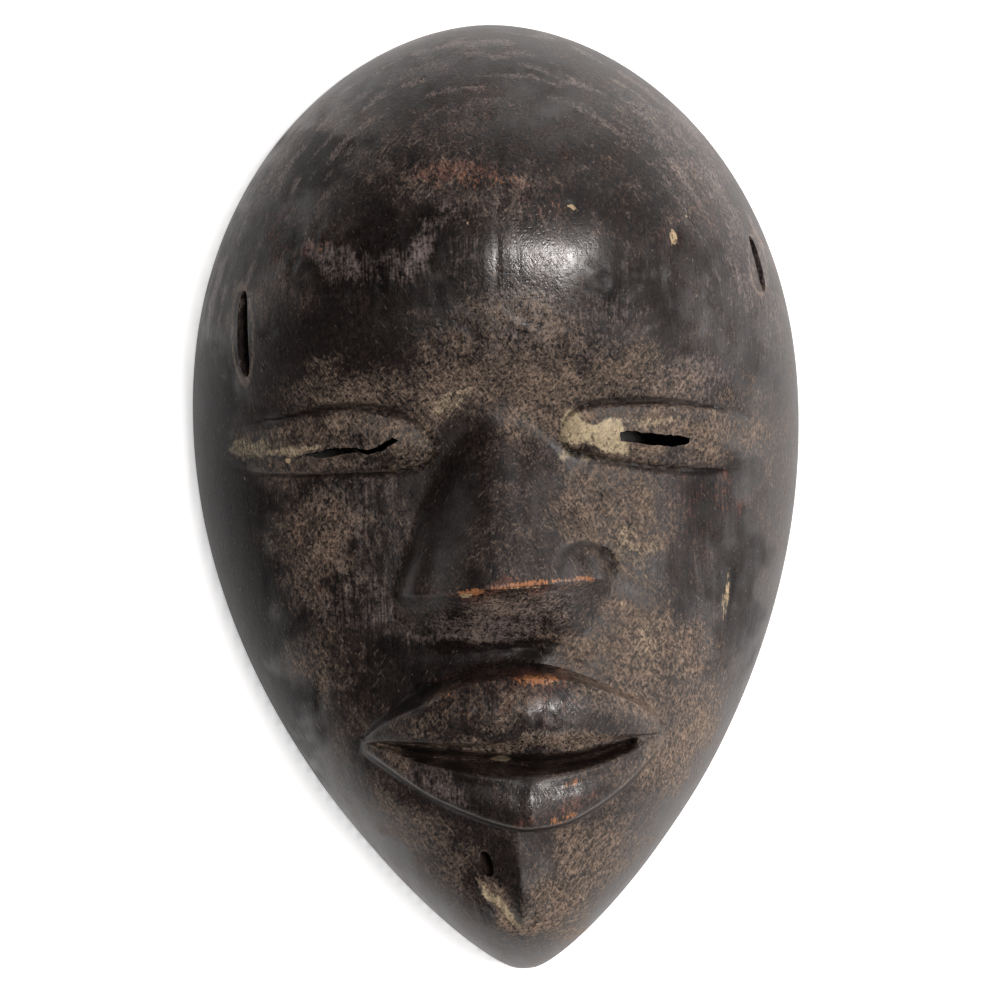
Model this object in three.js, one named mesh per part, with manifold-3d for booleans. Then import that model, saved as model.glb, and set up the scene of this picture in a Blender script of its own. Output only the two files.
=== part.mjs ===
// A carved wooden face mask lying on its flat rim: millimetres, +Y to the crown, +Z out of the face.
import * as THREE from "three";
import { mergeVertices } from "three/addons/utils/BufferGeometryUtils.js";
import Module from "manifold-3d";

const wasm = await Module();
wasm.setup();

// The outer form: where it ends, its half width, and its section from crown to chin.
// Each list holds [y, value] stations that a smooth curve runs through.
const OUTER = {
  top: 120.5,
  bottom: -120.5,
  halfWidth: 77.7,
  crownFrom: 50,
  chinFrom: -88,
  middle: [
    [-121, 52], [-104, 54], [-84, 57], [-60, 58], [-38, 56.5], [-20, 55], [0, 54],
    [14, 54.5], [24, 58], [38, 65], [56, 69], [74, 68], [100, 66], [121, 64],
  ],
  bow: [[-121, 5], [-90, 8], [-60, 15], [-20, 14], [10, 13], [30, 9], [60, 5], [121, 0]],
  fullness: [
    [-121, 3.2], [-90, 5], [-60, 6], [-10, 5.5], [15, 4.6], [35, 3.4], [60, 2.7], [90, 2.3], [121, 2],
  ],
};

// The hollow behind it, smoother, one wall thickness inside.
const HOLLOW = {
  top: 110.5,
  bottom: -109,
  halfWidth: 68.2,
  crownFrom: 36,
  chinFrom: -70,
  middle: [
    [-110, 34], [-90, 42], [-60, 46], [-20, 45], [14, 44.5], [38, 52], [56, 57], [76, 56.5], [111, 52],
  ],
  bow: [[-110, 4], [-60, 12], [0, 12], [30, 8], [60, 4], [111, 0]],
  fullness: [[-110, 2.6], [-60, 4], [15, 3.6], [60, 2.5], [111, 2]],
};

const WIDEST_Y = 20;
const CROWN_POWER = 2.14;
const CROWN_ROUND = 0.54;
const JAW_POWER = 1.96;
const JAW_ROUND = 0.82;
// How far past its blunt tip the jaw's outline would come to a point.
const CHIN_BLUNT = 1.2;
const CROWN_FALL = 2.3;
const CHIN_FALL = 2.6;
const CENTRE = [[-121, 3.1], [-84, 2.2], [-40, 1], [0, 0.45], [40, 0.5], [84, 0.7], [121, 0.9]];
const KEEL = { from: -70, to: -90, slope: 0.2, round: 0.5, ridge: 1.1, ridgeWidth: 6 };
const MUZZLE = { x: 1.5, y: -60, height: 2, wide: 30, tall: 18 };

// The nose: a wedge whose lower edge leans a little, with wings at its foot.
const NOSE = {
  x: 1.3,
  edge: -21.4,
  lean: 0.052,
  leanX: 4,
  under: 15.5,
  underAtWing: 0.45,
  underFrom: 0.55,
  underPower: 1.45,
  top: 26,
  wingsFrom: 2,
  wingsTo: -17,
  half: [[-24, 26.6], [-20, 25.6], [-12, 22.8], [-3, 19.8], [7, 15.8], [14, 10.8], [19, 7.6], [26, 6]],
  rise: [[-21, 19.5], [-14, 17.6], [-4, 13.6], [5, 9.2], [12, 4.9], [18, 1.4], [22, 0.3], [26, 0]],
  bridge: [[-0.25, 0.93], [0, 1], [0.25, 0.93], [0.5, 0.62], [0.75, 0.22], [0.9, 0.06], [1, 0]],
  wings: [[-0.3, 0.95], [0, 1], [0.3, 0.95], [0.52, 0.77], [0.7, 0.57], [0.86, 0.46], [0.95, 0.28], [1, 0]],
};

// The mouth: lines of [x, y] that run from corner to corner, from the roof of the upper lip down.
const MOUTH = {
  x: 1.8,
  half: 36.4,
  left: -33,
  right: 36.5,
  above: -35,
  below: -86,
  least: 0.6,
  cornerWidth: 0.9,
  fullPower: 0.75,
  foot: 2.2,
  cornerRise: 2.2,
  roofPower: 1.4,
  upperRise: 8.4,
  upperRoll: 2.6,
  upperSink: 1.2,
  bevel: 4.2,
  slotFloor: 3.5,
  slotLeft: [-33, -24],
  slotRight: [31.6, 29.8],
  lowerRise: 4.8,
  lowerSwell: 2.6,
  lowerRoll: 1.4,
  foldX: 5.7,
  foldWidth: 9,
  lowerFold: 2.4,
  upperFold: 1.3,
  foldFrom: 0.3,
  roof: [
    [-34.6, -57], [-32, -54], [-26.6, -49.7], [-19, -44.6], [-11, -41.9], [-4, -39.9], [1.5, -39.3],
    [7, -39.9], [14, -41.5], [20, -43.8], [32, -49.4], [35.8, -52.2], [38.2, -57],
  ],
  crest: [
    [-34.6, -57.6], [-29, -53.4], [-21.6, -50], [-14, -46.4], [-6.5, -43.9], [0, -42.9], [6, -42.9],
    [13.5, -43.8], [20, -45.4], [28, -48.8], [33.2, -52], [36.5, -54.8], [38.2, -57.6],
  ],
  under: [
    [-34.6, -57.8], [-28, -57.2], [-7, -57.2], [6, -55.6], [20, -56.2], [31, -57.6], [38.2, -57.8],
  ],
  edge: [
    [-34.6, -58], [-30, -57.6], [-24, -58.2], [-14, -58.9], [-5, -59.9], [3, -60.7], [13, -60.8],
    [20, -60], [30, -58.6], [38.2, -58],
  ],
  deep: [
    [-34.6, -58.2], [-30, -58.4], [-24, -60], [-17, -62], [-5, -63], [3, -64], [13, -63.8],
    [22, -62.4], [31, -59.6], [38.2, -58.2],
  ],
  lower: [
    [-34.6, -58.4], [-30, -59.2], [-24, -61.4], [-13, -64.4], [2, -66.3], [18, -65.4], [31, -61.6],
    [38.2, -58.4],
  ],
  base: [
    [-34.6, -59], [-33, -60], [-27, -64.2], [-18.3, -70], [-7.6, -75], [-0.6, -77.4], [5.3, -78.2],
    [13.8, -77.2], [21.3, -73.7], [30, -67.6], [36.6, -61], [38.2, -58.8],
  ],
};

const LID = { step: 0.9, stepWidth: 0.9, roll: 1.7, rollWidth: 6 };

// The two closed eyelids, each between an upper and a lower line, flattening towards its outer end.
const LIDS = [
  {
    outer: [-48, -70],
    top: [[-70, 13.5], [-64, 18], [-47, 20.8], [-38, 21.8], [-27.5, 20.6], [-18.5, 17.4], [-14.5, 12.5]],
    bottom: [[-70, 12], [-58, 8], [-47, 7.1], [-33, 6.8], [-21.4, 7.4], [-16, 9.2], [-14.5, 11.5]],
  },
  {
    outer: [50, 69],
    top: [[15.8, 15], [17.7, 18], [22, 20.3], [36, 20.6], [47, 19.9], [59, 17.8], [69, 12]],
    bottom: [[15.8, 13], [17.5, 10.8], [28, 8.2], [43, 5.7], [56.5, 5.4], [69, 9]],
  },
];

// The pierced eye slits, ragged as they were cut, and the wider pockets that meet them from behind.
const SLITS = [
  {
    edge: [
      [-47.6, 11.3], [-43.3, 10.8], [-40.6, 10.6], [-35.1, 11.4], [-32.8, 11.6], [-30.6, 10.9], [-29.1, 11.1],
      [-26.8, 11.9], [-23, 14.1], [-24.5, 14.7], [-27.7, 13], [-30.6, 11.9], [-33.2, 12.5], [-38, 12.8],
      [-42.3, 12.3],
    ],
    pocket: { x: -34.5, y: 12.4, length: 27, height: 11 },
  },
  {
    edge: [
      [30, 12.4], [33.5, 12], [35.8, 11.2], [40.8, 10.7], [43.2, 10.5], [46.1, 11.3], [46.2, 12.2],
      [44.5, 12.9], [40, 13.4], [35.9, 13.9], [31.7, 14.6], [30, 14.1],
    ],
    pocket: { x: 38.5, y: 12.1, length: 21, height: 11 },
  },
];
const POCKET_ROOF = 4.5;
const CUT_BOTTOM = 25;
const CUT_TOP = 80;

// The two slots through the side walls, each square to the surface it opens in. Across is the place
// between the middle and the edge; the clearance is how far a cut goes beyond the wall.
const SIDE_SLOTS = [
  { across: -0.798, y: 41.5, length: 21, width: 4.6, turn: -52 },
  { across: 0.9, y: 55, length: 14, width: 4.2, turn: 60 },
];
const SLOT_CLEARANCE = 6;

// A small pit beside the chin's ridge.
const CHIN_PIT = { x: -5.5, y: -88, length: 6.4, width: 2.6, depth: 5, turn: 14 };

const OVAL_SIDES = 20;
const OVAL_POWER = 0.8;
const SKIRT = 2;

// Heights at which the rows of the two surfaces change their spacing.
const ROW_BREAKS = { crown: 44, brow: 24, lid: 4, nose: -20 };
const ROW_COUNTS = { crown: 15, brow: 5, lid: 11, nose: 6, muzzle: 7, chin: 11 };
const HOLLOW_BREAKS = { crown: 40, jaw: -60 };
const HOLLOW_COUNTS = { crown: 10, face: 12, chin: 9 };

// Columns across each surface, with a few more close to the sides.
const COLUMNS = { count: 36, extra: [0.988, 0.9965] };
const HOLLOW_COLUMNS = { count: 22, extra: [0.99] };

// Where the rows stop following the mouth's lines and straighten towards the sides.
const BEND = { full: 0.55, none: 0.97 };

// How many rows run between one line of the mouth and the next.
const MOUTH_STEPS = [3, 2, 4, 2, 2, 2, 4, 2, 3];

const clamp = (v, low = 0, high = 1) => Math.min(high, Math.max(low, v));

// A rise from 0 at a to 1 at b with level ends.
function ease(a, b, v) {
  const t = clamp((v - a) / (b - a));
  return t * t * (3 - 2 * t);
}

// A smooth curve through stations of [place, value].
function curve(stations, v) {
  const last = stations.length - 1;
  let i = 0;
  while (i < last - 1 && v > stations[i + 1][0]) {
    i += 1;
  }
  const slope = (j) => {
    const low = stations[Math.max(j - 1, 0)];
    const high = stations[Math.min(j + 1, last)];
    return (high[1] - low[1]) / (high[0] - low[0]);
  };
  const [x0, v0] = stations[i];
  const [x1, v1] = stations[i + 1];
  const h = x1 - x0;
  const t = clamp((v - x0) / h);
  return (
    (1 + 2 * t) * (1 - t) ** 2 * v0 +
    t * (1 - t) ** 2 * h * slope(i) +
    t * t * (3 - 2 * t) * v1 +
    t * t * (t - 1) * h * slope(i + 1)
  );
}

// Half the width of a form at height y: a round crown above the widest line, a long pointed jaw below.
function halfWidth(form, y) {
  if (y > WIDEST_Y) {
    const up = clamp((y - WIDEST_Y) / (form.top - WIDEST_Y));
    return form.halfWidth * (1 - up ** CROWN_POWER) ** CROWN_ROUND;
  }
  const down = clamp((WIDEST_Y - y) / (WIDEST_Y - form.bottom + CHIN_BLUNT));
  return form.halfWidth * (1 - down ** JAW_POWER) ** JAW_ROUND;
}

// The middle of the outline, which leans a little to the right towards the chin.
const centreLine = (y) => curve(CENTRE, y);

// The front before its edges fall away: a middle line, bowed to each side.
function front(form, x, y) {
  const q = clamp((x - centreLine(y)) / Math.max(halfWidth(form, y), 1e-6), -1, 1);
  return curve(form.middle, y) - curve(form.bow, y) * q * q;
}

// The fall to the rim at the crown, the chin and both sides, from 1 inside to 0 at the outline.
function fall(form, x, y) {
  const up = clamp((y - form.crownFrom) / (form.top - form.crownFrom));
  const down = clamp((form.chinFrom - y) / (form.chinFrom - form.bottom));
  const q = clamp(Math.abs(x - centreLine(y)) / Math.max(halfWidth(form, y), 1e-6));
  return (
    Math.sqrt(clamp(1 - up ** CROWN_FALL)) *
    Math.sqrt(clamp(1 - down ** CHIN_FALL)) *
    Math.sqrt(clamp(1 - q ** curve(form.fullness, y)))
  );
}

// The nose's height: its section turns from a rounded bridge into a flatter one with wings.
function nose(x, y) {
  const edge = NOSE.edge + NOSE.lean * (x - NOSE.leanX);
  const at = Math.max(y, edge);
  const g = Math.abs(x - NOSE.x) / curve(NOSE.half, at);
  if (g >= 1 || y > NOSE.top) {
    return 0;
  }
  const wide = ease(NOSE.wingsFrom, NOSE.wingsTo, at);
  const section = (1 - wide) * curve(NOSE.bridge, g) + wide * curve(NOSE.wings, g);
  const under = NOSE.under * (1 - (1 - NOSE.underAtWing) * ease(NOSE.underFrom, 1, g));
  const back = clamp((edge - y) / under);
  return curve(NOSE.rise, at) * section * (1 - back) ** NOSE.underPower;
}

// The mouth's height: up the roof, over the upper lip, under its bevel, into the slot, out and down.
function mouth(x, y) {
  const reach = MOUTH.half - Math.abs(x - MOUTH.x);
  if (reach <= 0) {
    return 0;
  }
  const full = (1 - (1 - reach / MOUTH.half) ** 2) ** MOUTH.fullPower;
  const between = (a, b) => {
    const high = curve(MOUTH[a], x);
    const low = curve(MOUTH[b], x);
    return clamp((high - y) / Math.max(high - low, MOUTH.least));
  };
  const level = (t) => ease(0, 1, t);
  const hump = (t) => 4 * t * (1 - t);
  const crest = MOUTH.cornerRise + MOUTH.upperRise * full;
  const edge = crest - (MOUTH.upperSink + MOUTH.bevel) * full;
  const lower = MOUTH.cornerRise + MOUTH.lowerRise * full;
  const open = ease(...MOUTH.slotLeft, x) * ease(...MOUTH.slotRight, x);
  const dip = open * (edge + MOUTH.slotFloor * full);
  const fold = full * (1 - Math.exp(-Math.abs(x - MOUTH.foldX) / MOUTH.foldWidth));
  const upperLip = between("crest", "under");
  const lowerLip = between("lower", "base");
  let z = crest * between("roof", "crest") ** MOUTH.roofPower;
  z += full * (MOUTH.upperRoll * hump(upperLip) - MOUTH.upperSink * upperLip);
  z -= full * MOUTH.bevel * level(between("under", "edge"));
  z -= dip * level(between("edge", "deep"));
  z += (lower - edge + dip) * level(between("deep", "lower"));
  z += full * (MOUTH.lowerSwell * lowerLip + MOUTH.lowerRoll * hump(lowerLip));
  z -= fold * (MOUTH.upperFold * hump(upperLip) + MOUTH.lowerFold * ease(0, MOUTH.foldFrom, lowerLip));
  const foot = clamp((curve(MOUTH.base, x) - y) / MOUTH.foot);
  return z * (1 - level(foot)) * ease(0, MOUTH.cornerWidth, reach);
}

// The eyelids' height: a low step up at the lid's line and a soft roll inside it.
function lids(x, y) {
  let z = 0;
  for (const lid of LIDS) {
    const inside = x > lid.top[0][0] && x < lid.top[lid.top.length - 1][0];
    const d = inside ? Math.min(curve(lid.top, x) - y, y - curve(lid.bottom, x)) : -9;
    const step = LID.step * ease(-LID.stepWidth / 2, LID.stepWidth / 2, d);
    const roll = LID.roll * ease(0, LID.rollWidth, d);
    z += (step + roll) * (1 - ease(lid.outer[0], lid.outer[1], x));
  }
  return z;
}

// The whole outer skin.
function skin(x, y) {
  const aside = Math.sqrt((x - centreLine(y)) ** 2 + KEEL.round ** 2) - KEEL.round;
  const ridge = KEEL.ridge * (1 - Math.exp(-aside / KEEL.ridgeWidth));
  const keel = (KEEL.slope * aside + ridge) * ease(KEEL.from, KEEL.to, y);
  const swell = ((x - MUZZLE.x) / MUZZLE.wide) ** 2 + ((y - MUZZLE.y) / MUZZLE.tall) ** 2;
  const relief = MUZZLE.height * Math.exp(-swell) + lids(x, y) + nose(x, y) + mouth(x, y);
  return (front(OUTER, x, y) - keel + relief) * fall(OUTER, x, y);
}

const lining = (x, y) => front(HOLLOW, x, y) * fall(HOLLOW, x, y);

// Rows from one height down to another, evenly, without the last.
function evenRows(from, to, count) {
  return Array.from({ length: count }, (_, i) => ({ y: from + ((to - from) * i) / count }));
}

// Rows that crowd towards a tip, in the order from the top to the bottom.
function crownRows(tip, from, count) {
  return Array.from({ length: count }, (_, i) => ({
    y: from + (tip - from) * Math.cos((i / count) * (Math.PI / 2)),
  }));
}

function chinRows(from, tip, count) {
  return Array.from({ length: count + 1 }, (_, i) => ({
    y: from + (tip - from) * Math.sin((i / count) * (Math.PI / 2)),
  }));
}

// Rows that bend to run along the mouth's own lines, with level rows above and below them.
function mouthRows() {
  const level = (y) => () => y;
  const along = (name) => (x) => curve(MOUTH[name], clamp(x, MOUTH.left, MOUTH.right));
  const foot = (x) => along("base")(x) - MOUTH.foot;
  const names = ["roof", "crest", "under", "edge", "deep", "lower", "base"];
  const lines = [level(MOUTH.above), ...names.map(along), foot, level(MOUTH.below)];
  const rows = [];
  MOUTH_STEPS.forEach((steps, k) => {
    for (let i = 0; i < steps; i += 1) {
      const f = i / steps;
      const bend = (x) => (1 - f) * lines[k](x) + f * lines[k + 1](x);
      rows.push({ y: bend(MOUTH.x), bend });
    }
  });
  return rows;
}

// Places across a row from -1 to 1: nearly even inside, crowded where the sides stand steep.
function columnsOf({ count, extra }) {
  const places = extra.flatMap((q) => [-q, q]);
  for (let i = 0; i <= count; i += 1) {
    const u = (2 * i) / count - 1;
    places.push(0.5 * u + 0.5 * Math.sin((u * Math.PI) / 2));
  }
  return places.sort((a, b) => a - b);
}

// A closed body: the height field over the form's outline, a skirt of the given depth and a flat base.
function body(form, heightAt, rows, columns, skirt) {
  const points = [];
  const faces = [];
  const add = (x, y, z) => points.push(x, y, z) / 3 - 1;
  const last = rows.length - 1;
  const grid = rows.map((row, i) => {
    const middle = centreLine(row.y);
    const w = halfWidth(form, row.y);
    if (i === 0 || i === last) {
      return columns.map(() => [middle, row.y, 0]);
    }
    return columns.map((q, j) => {
      const x = middle + w * q;
      const hold = 1 - ease(BEND.full, BEND.none, Math.abs(q));
      const y = row.bend ? row.y + hold * (row.bend(x) - row.y) : row.y;
      const rim = j === 0 || j === columns.length - 1;
      return [x, y, rim ? 0 : heightAt(x, y)];
    });
  });
  const index = grid.map((row) => row.map((p) => add(...p)));
  const face = (a, b, c) => faces.push(a, b, c);
  const quad = (a, b, c, d) => {
    face(a, b, c);
    face(a, c, d);
  };
  for (let i = 0; i < last; i += 1) {
    for (let j = 0; j < columns.length - 1; j += 1) {
      quad(index[i][j], index[i + 1][j], index[i + 1][j + 1], index[i][j + 1]);
    }
  }
  const right = columns.length - 1;
  const foot = grid.map((row) => [row[0], row[right]].map(([x, y]) => add(x, y, -skirt)));
  for (let i = 0; i < last; i += 1) {
    quad(index[i][0], foot[i][0], foot[i + 1][0], index[i + 1][0]);
    quad(index[i + 1][right], foot[i + 1][1], foot[i][1], index[i][right]);
    quad(foot[i][0], foot[i][1], foot[i + 1][1], foot[i + 1][0]);
  }
  const geometry = new THREE.BufferGeometry();
  geometry.setAttribute("position", new THREE.Float32BufferAttribute(points, 3));
  geometry.setIndex(faces);
  return geometry;
}

// A straight cutter with the given plan, from z = low to z = high.
function cutter(outline, low, high) {
  const shape = new THREE.Shape(outline.map(([x, y]) => new THREE.Vector2(x, y)));
  const geometry = new THREE.ExtrudeGeometry(shape, { depth: high - low, bevelEnabled: false });
  return geometry.translate(0, 0, low);
}

// An oval plan about the origin, blunter than an ellipse.
function oval(length, width) {
  const points = [];
  for (let i = 0; i < OVAL_SIDES; i += 1) {
    const a = (i / OVAL_SIDES) * 2 * Math.PI;
    const blunt = (v) => Math.sign(v) * Math.abs(v) ** OVAL_POWER;
    points.push([(length / 2) * blunt(Math.cos(a)), (width / 2) * blunt(Math.sin(a))]);
  }
  return points;
}

// A geometry as a solid for the cuts: position only, welded, with its collapsed faces dropped.
function solid(geometry) {
  const bare = new THREE.BufferGeometry();
  bare.setAttribute("position", geometry.getAttribute("position"));
  bare.setIndex(geometry.index);
  const welded = mergeVertices(bare, 1e-4);
  const old = welded.index.array;
  const kept = [];
  for (let i = 0; i < old.length; i += 3) {
    const [a, b, c] = [old[i], old[i + 1], old[i + 2]];
    if (a !== b && b !== c && c !== a) {
      kept.push(a, b, c);
    }
  }
  return new wasm.Manifold(
    new wasm.Mesh({
      numProp: 3,
      vertProperties: new Float32Array(welded.attributes.position.array),
      triVerts: new Uint32Array(kept),
    }),
  );
}

const outerRows = [
  ...crownRows(OUTER.top, ROW_BREAKS.crown, ROW_COUNTS.crown),
  ...evenRows(ROW_BREAKS.crown, ROW_BREAKS.brow, ROW_COUNTS.brow),
  ...evenRows(ROW_BREAKS.brow, ROW_BREAKS.lid, ROW_COUNTS.lid),
  ...evenRows(ROW_BREAKS.lid, ROW_BREAKS.nose, ROW_COUNTS.nose),
  ...evenRows(ROW_BREAKS.nose, MOUTH.above, ROW_COUNTS.muzzle),
  ...mouthRows(),
  ...chinRows(MOUTH.below, OUTER.bottom, ROW_COUNTS.chin),
];
const hollowRows = [
  ...crownRows(HOLLOW.top, HOLLOW_BREAKS.crown, HOLLOW_COUNTS.crown),
  ...evenRows(HOLLOW_BREAKS.crown, HOLLOW_BREAKS.jaw, HOLLOW_COUNTS.face),
  ...chinRows(HOLLOW_BREAKS.jaw, HOLLOW.bottom, HOLLOW_COUNTS.chin),
];
const outerColumns = columnsOf(COLUMNS);
const hollowColumns = columnsOf(HOLLOW_COLUMNS);
let mask = solid(body(OUTER, skin, outerRows, outerColumns, 0));
mask = mask.subtract(solid(body(HOLLOW, lining, hollowRows, hollowColumns, SKIRT)));

for (const { edge, pocket } of SLITS) {
  mask = mask.subtract(solid(cutter(edge, CUT_BOTTOM, CUT_TOP)));
  const plan = oval(pocket.length, pocket.height).map(([x, y]) => [x + pocket.x, y + pocket.y]);
  const roofs = plan.map(([x, y]) => skin(x, y) - POCKET_ROOF);
  mask = mask.subtract(solid(cutter(plan, CUT_BOTTOM, Math.min(...roofs))));
}

for (const slot of SIDE_SLOTS) {
  const half = halfWidth(OUTER, slot.y);
  const x = centreLine(slot.y) + half * slot.across;
  const reach = half - halfWidth(HOLLOW, slot.y) + SLOT_CLEARANCE;
  const piece = cutter(oval(slot.width, slot.length), -reach, reach);
  piece.rotateY(THREE.MathUtils.degToRad(slot.turn));
  piece.translate(x, slot.y, skin(x, slot.y));
  mask = mask.subtract(solid(piece));
}

const pit = cutter(oval(CHIN_PIT.width, CHIN_PIT.length), -CHIN_PIT.depth, CHIN_PIT.depth);
pit.rotateZ(THREE.MathUtils.degToRad(CHIN_PIT.turn));
pit.translate(CHIN_PIT.x, CHIN_PIT.y, skin(CHIN_PIT.x, CHIN_PIT.y));
mask = mask.subtract(solid(pit));

const shape = mask.getMesh();
const geometry = new THREE.BufferGeometry();
geometry.setAttribute("position", new THREE.BufferAttribute(shape.vertProperties, 3));
geometry.setIndex(new THREE.BufferAttribute(shape.triVerts, 1));

// The frame's origin is the middle of the rim's bounding box.
geometry.computeBoundingBox();
const middle = geometry.boundingBox.getCenter(new THREE.Vector3());
geometry.translate(-middle.x, -middle.y, 0);
geometry.computeVertexNormals();

const wood = new THREE.MeshStandardMaterial({ color: 0x3a2f2b, roughness: 0.45 });
const mesh = new THREE.Mesh(geometry, wood);
mesh.name = "mask";

const group = new THREE.Group();
group.name = "dan_mask";
group.add(mesh);

export default group;
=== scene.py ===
"""A carved wooden face mask with a dark, dusty patina, lying face up on a pale floor.

The frame is the CAD part's own: the rim lies on Z = 0, +Y runs to the crown, +X to the viewer's
right and +Z out of the face. Shapes are worked out in millimetres and stored in metres.
"""

import math

import bmesh
import bpy
import numpy as np
from mathutils import Matrix


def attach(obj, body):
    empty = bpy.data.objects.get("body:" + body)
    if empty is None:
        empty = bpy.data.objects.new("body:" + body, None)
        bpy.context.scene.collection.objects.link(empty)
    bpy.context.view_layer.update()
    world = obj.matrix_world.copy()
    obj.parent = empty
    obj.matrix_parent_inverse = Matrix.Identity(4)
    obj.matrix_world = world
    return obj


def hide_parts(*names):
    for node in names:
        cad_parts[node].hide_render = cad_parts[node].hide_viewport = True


bl_info = {
    "name": "Carved Dan Mask",
    "version": (1, 0, 0),
    "blender": (4, 5, 0),
    "location": "View3D > Sidebar > Mask",
    "description": "Builds a patinated carved mask with its floor, lights and camera",
    "category": "Add Mesh",
}

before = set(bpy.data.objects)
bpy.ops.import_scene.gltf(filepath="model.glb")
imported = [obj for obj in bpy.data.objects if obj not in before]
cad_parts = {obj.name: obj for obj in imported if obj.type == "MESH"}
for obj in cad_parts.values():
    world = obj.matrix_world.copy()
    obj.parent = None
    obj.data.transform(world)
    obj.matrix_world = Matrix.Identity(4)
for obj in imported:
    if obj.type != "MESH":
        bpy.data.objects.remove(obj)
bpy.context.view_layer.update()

MM = 0.001
PIECE = "carved_mask"

# The outer form and the hollow behind it: where each ends, its half width, and its section
# from chin to crown, as [y, value] stations that a smooth curve runs through.
OUTER = {
    "top": 120.5,
    "bottom": -120.5,
    "half": 77.7,
    "crown_from": 50,
    "chin_from": -88,
    "middle": [
        (-121, 52), (-104, 54), (-84, 57), (-60, 58), (-38, 56.5), (-20, 55), (0, 54),
        (14, 54.5), (24, 58), (38, 65), (56, 69), (74, 68), (100, 66), (121, 64),
    ],
    "bow": [(-121, 5), (-90, 8), (-60, 15), (-20, 14), (10, 13), (30, 9), (60, 5), (121, 0)],
    "full": [
        (-121, 3.2), (-90, 5), (-60, 6), (-10, 5.5), (15, 4.6), (35, 3.4), (60, 2.7), (90, 2.3),
        (121, 2),
    ],
}
HOLLOW = {
    "top": 110.5,
    "bottom": -109,
    "half": 68.2,
    "crown_from": 36,
    "chin_from": -70,
    "middle": [
        (-110, 34), (-90, 42), (-60, 46), (-20, 45), (14, 44.5), (38, 52), (56, 57), (76, 56.5),
        (111, 52),
    ],
    "bow": [(-110, 4), (-60, 12), (0, 12), (30, 8), (60, 4), (111, 0)],
    "full": [(-110, 2.6), (-60, 4), (15, 3.6), (60, 2.5), (111, 2)],
}
WIDEST_Y = 20
# The frame's origin is the middle of the rim's bounding box, this far to the right of the nose's line.
MIDDLE_X = 0.43
CROWN_POWER, CROWN_ROUND = 2.14, 0.54
JAW_POWER, JAW_ROUND = 1.96, 0.82
# How far past its blunt tip the jaw's outline would come to a point.
CHIN_BLUNT = 1.2
CENTRE = [(-121, 3.1), (-84, 2.2), (-40, 1), (0, 0.45), (40, 0.5), (84, 0.7), (121, 0.9)]
CROWN_FALL, CHIN_FALL = 2.3, 2.6
# The ridge down the chin, which the ground falls away from, and the soft swell that carries the mouth.
KEEL_FROM, KEEL_TO, KEEL_SLOPE, KEEL_ROUND, KEEL_RIDGE, KEEL_WIDTH = -70, -90, 0.2, 0.5, 1.1, 6
MUZZLE_X, MUZZLE_Y, MUZZLE_HEIGHT, MUZZLE_WIDE, MUZZLE_TALL = 1.5, -60, 2, 30, 18

# The nose: a wedge whose lower edge leans a little, with wings at its foot.
NOSE_X, NOSE_TOP, NOSE_EDGE, NOSE_LEAN, NOSE_LEAN_X = 1.3, 26, -21.4, 0.052, 4
NOSE_UNDER, NOSE_POWER, WING_UNDER_CUT, WING_UNDER_FROM = 15.5, 1.45, 0.55, 0.55
WINGS_FROM, WINGS_TO = 2, -17
NOSE_HALF = [
    (-24, 26.6), (-20, 25.6), (-12, 22.8), (-3, 19.8), (7, 15.8), (14, 10.8), (19, 7.6), (26, 6),
]
NOSE_RISE = [
    (-21, 19.5), (-14, 17.6), (-4, 13.6), (5, 9.2), (12, 4.9), (18, 1.4), (22, 0.3), (26, 0),
]
BRIDGE = [(-0.25, 0.93), (0, 1), (0.25, 0.93), (0.5, 0.62), (0.75, 0.22), (0.9, 0.06), (1, 0)]
WINGS = [
    (-0.3, 0.95), (0, 1), (0.3, 0.95), (0.52, 0.77), (0.7, 0.57), (0.86, 0.46), (0.95, 0.28), (1, 0),
]

# The mouth's reach, and the rises, rolls and folds of its section.
MOUTH_X, MOUTH_HALF, MOUTH_FOOT, MOUTH_LEAST, FULL_POWER = 1.8, 36.4, 2.2, 0.6, 0.75
CORNER_WIDTH, CORNER_RISE, ROOF_POWER, SLOT_FLOOR = 0.9, 2.2, 1.4, 3.5
UPPER_RISE, UPPER_ROLL, UPPER_SINK, BEVEL = 8.4, 2.6, 1.2, 4.2
LOWER_RISE, LOWER_SWELL, LOWER_ROLL = 4.8, 2.6, 1.4
SLOT_LEFT, SLOT_RIGHT = (-33, -24), (31.6, 29.8)
FOLD_X, FOLD_WIDTH, FOLD_FROM, LOWER_FOLD, UPPER_FOLD = 5.7, 9, 0.3, 2.4, 1.3
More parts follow.
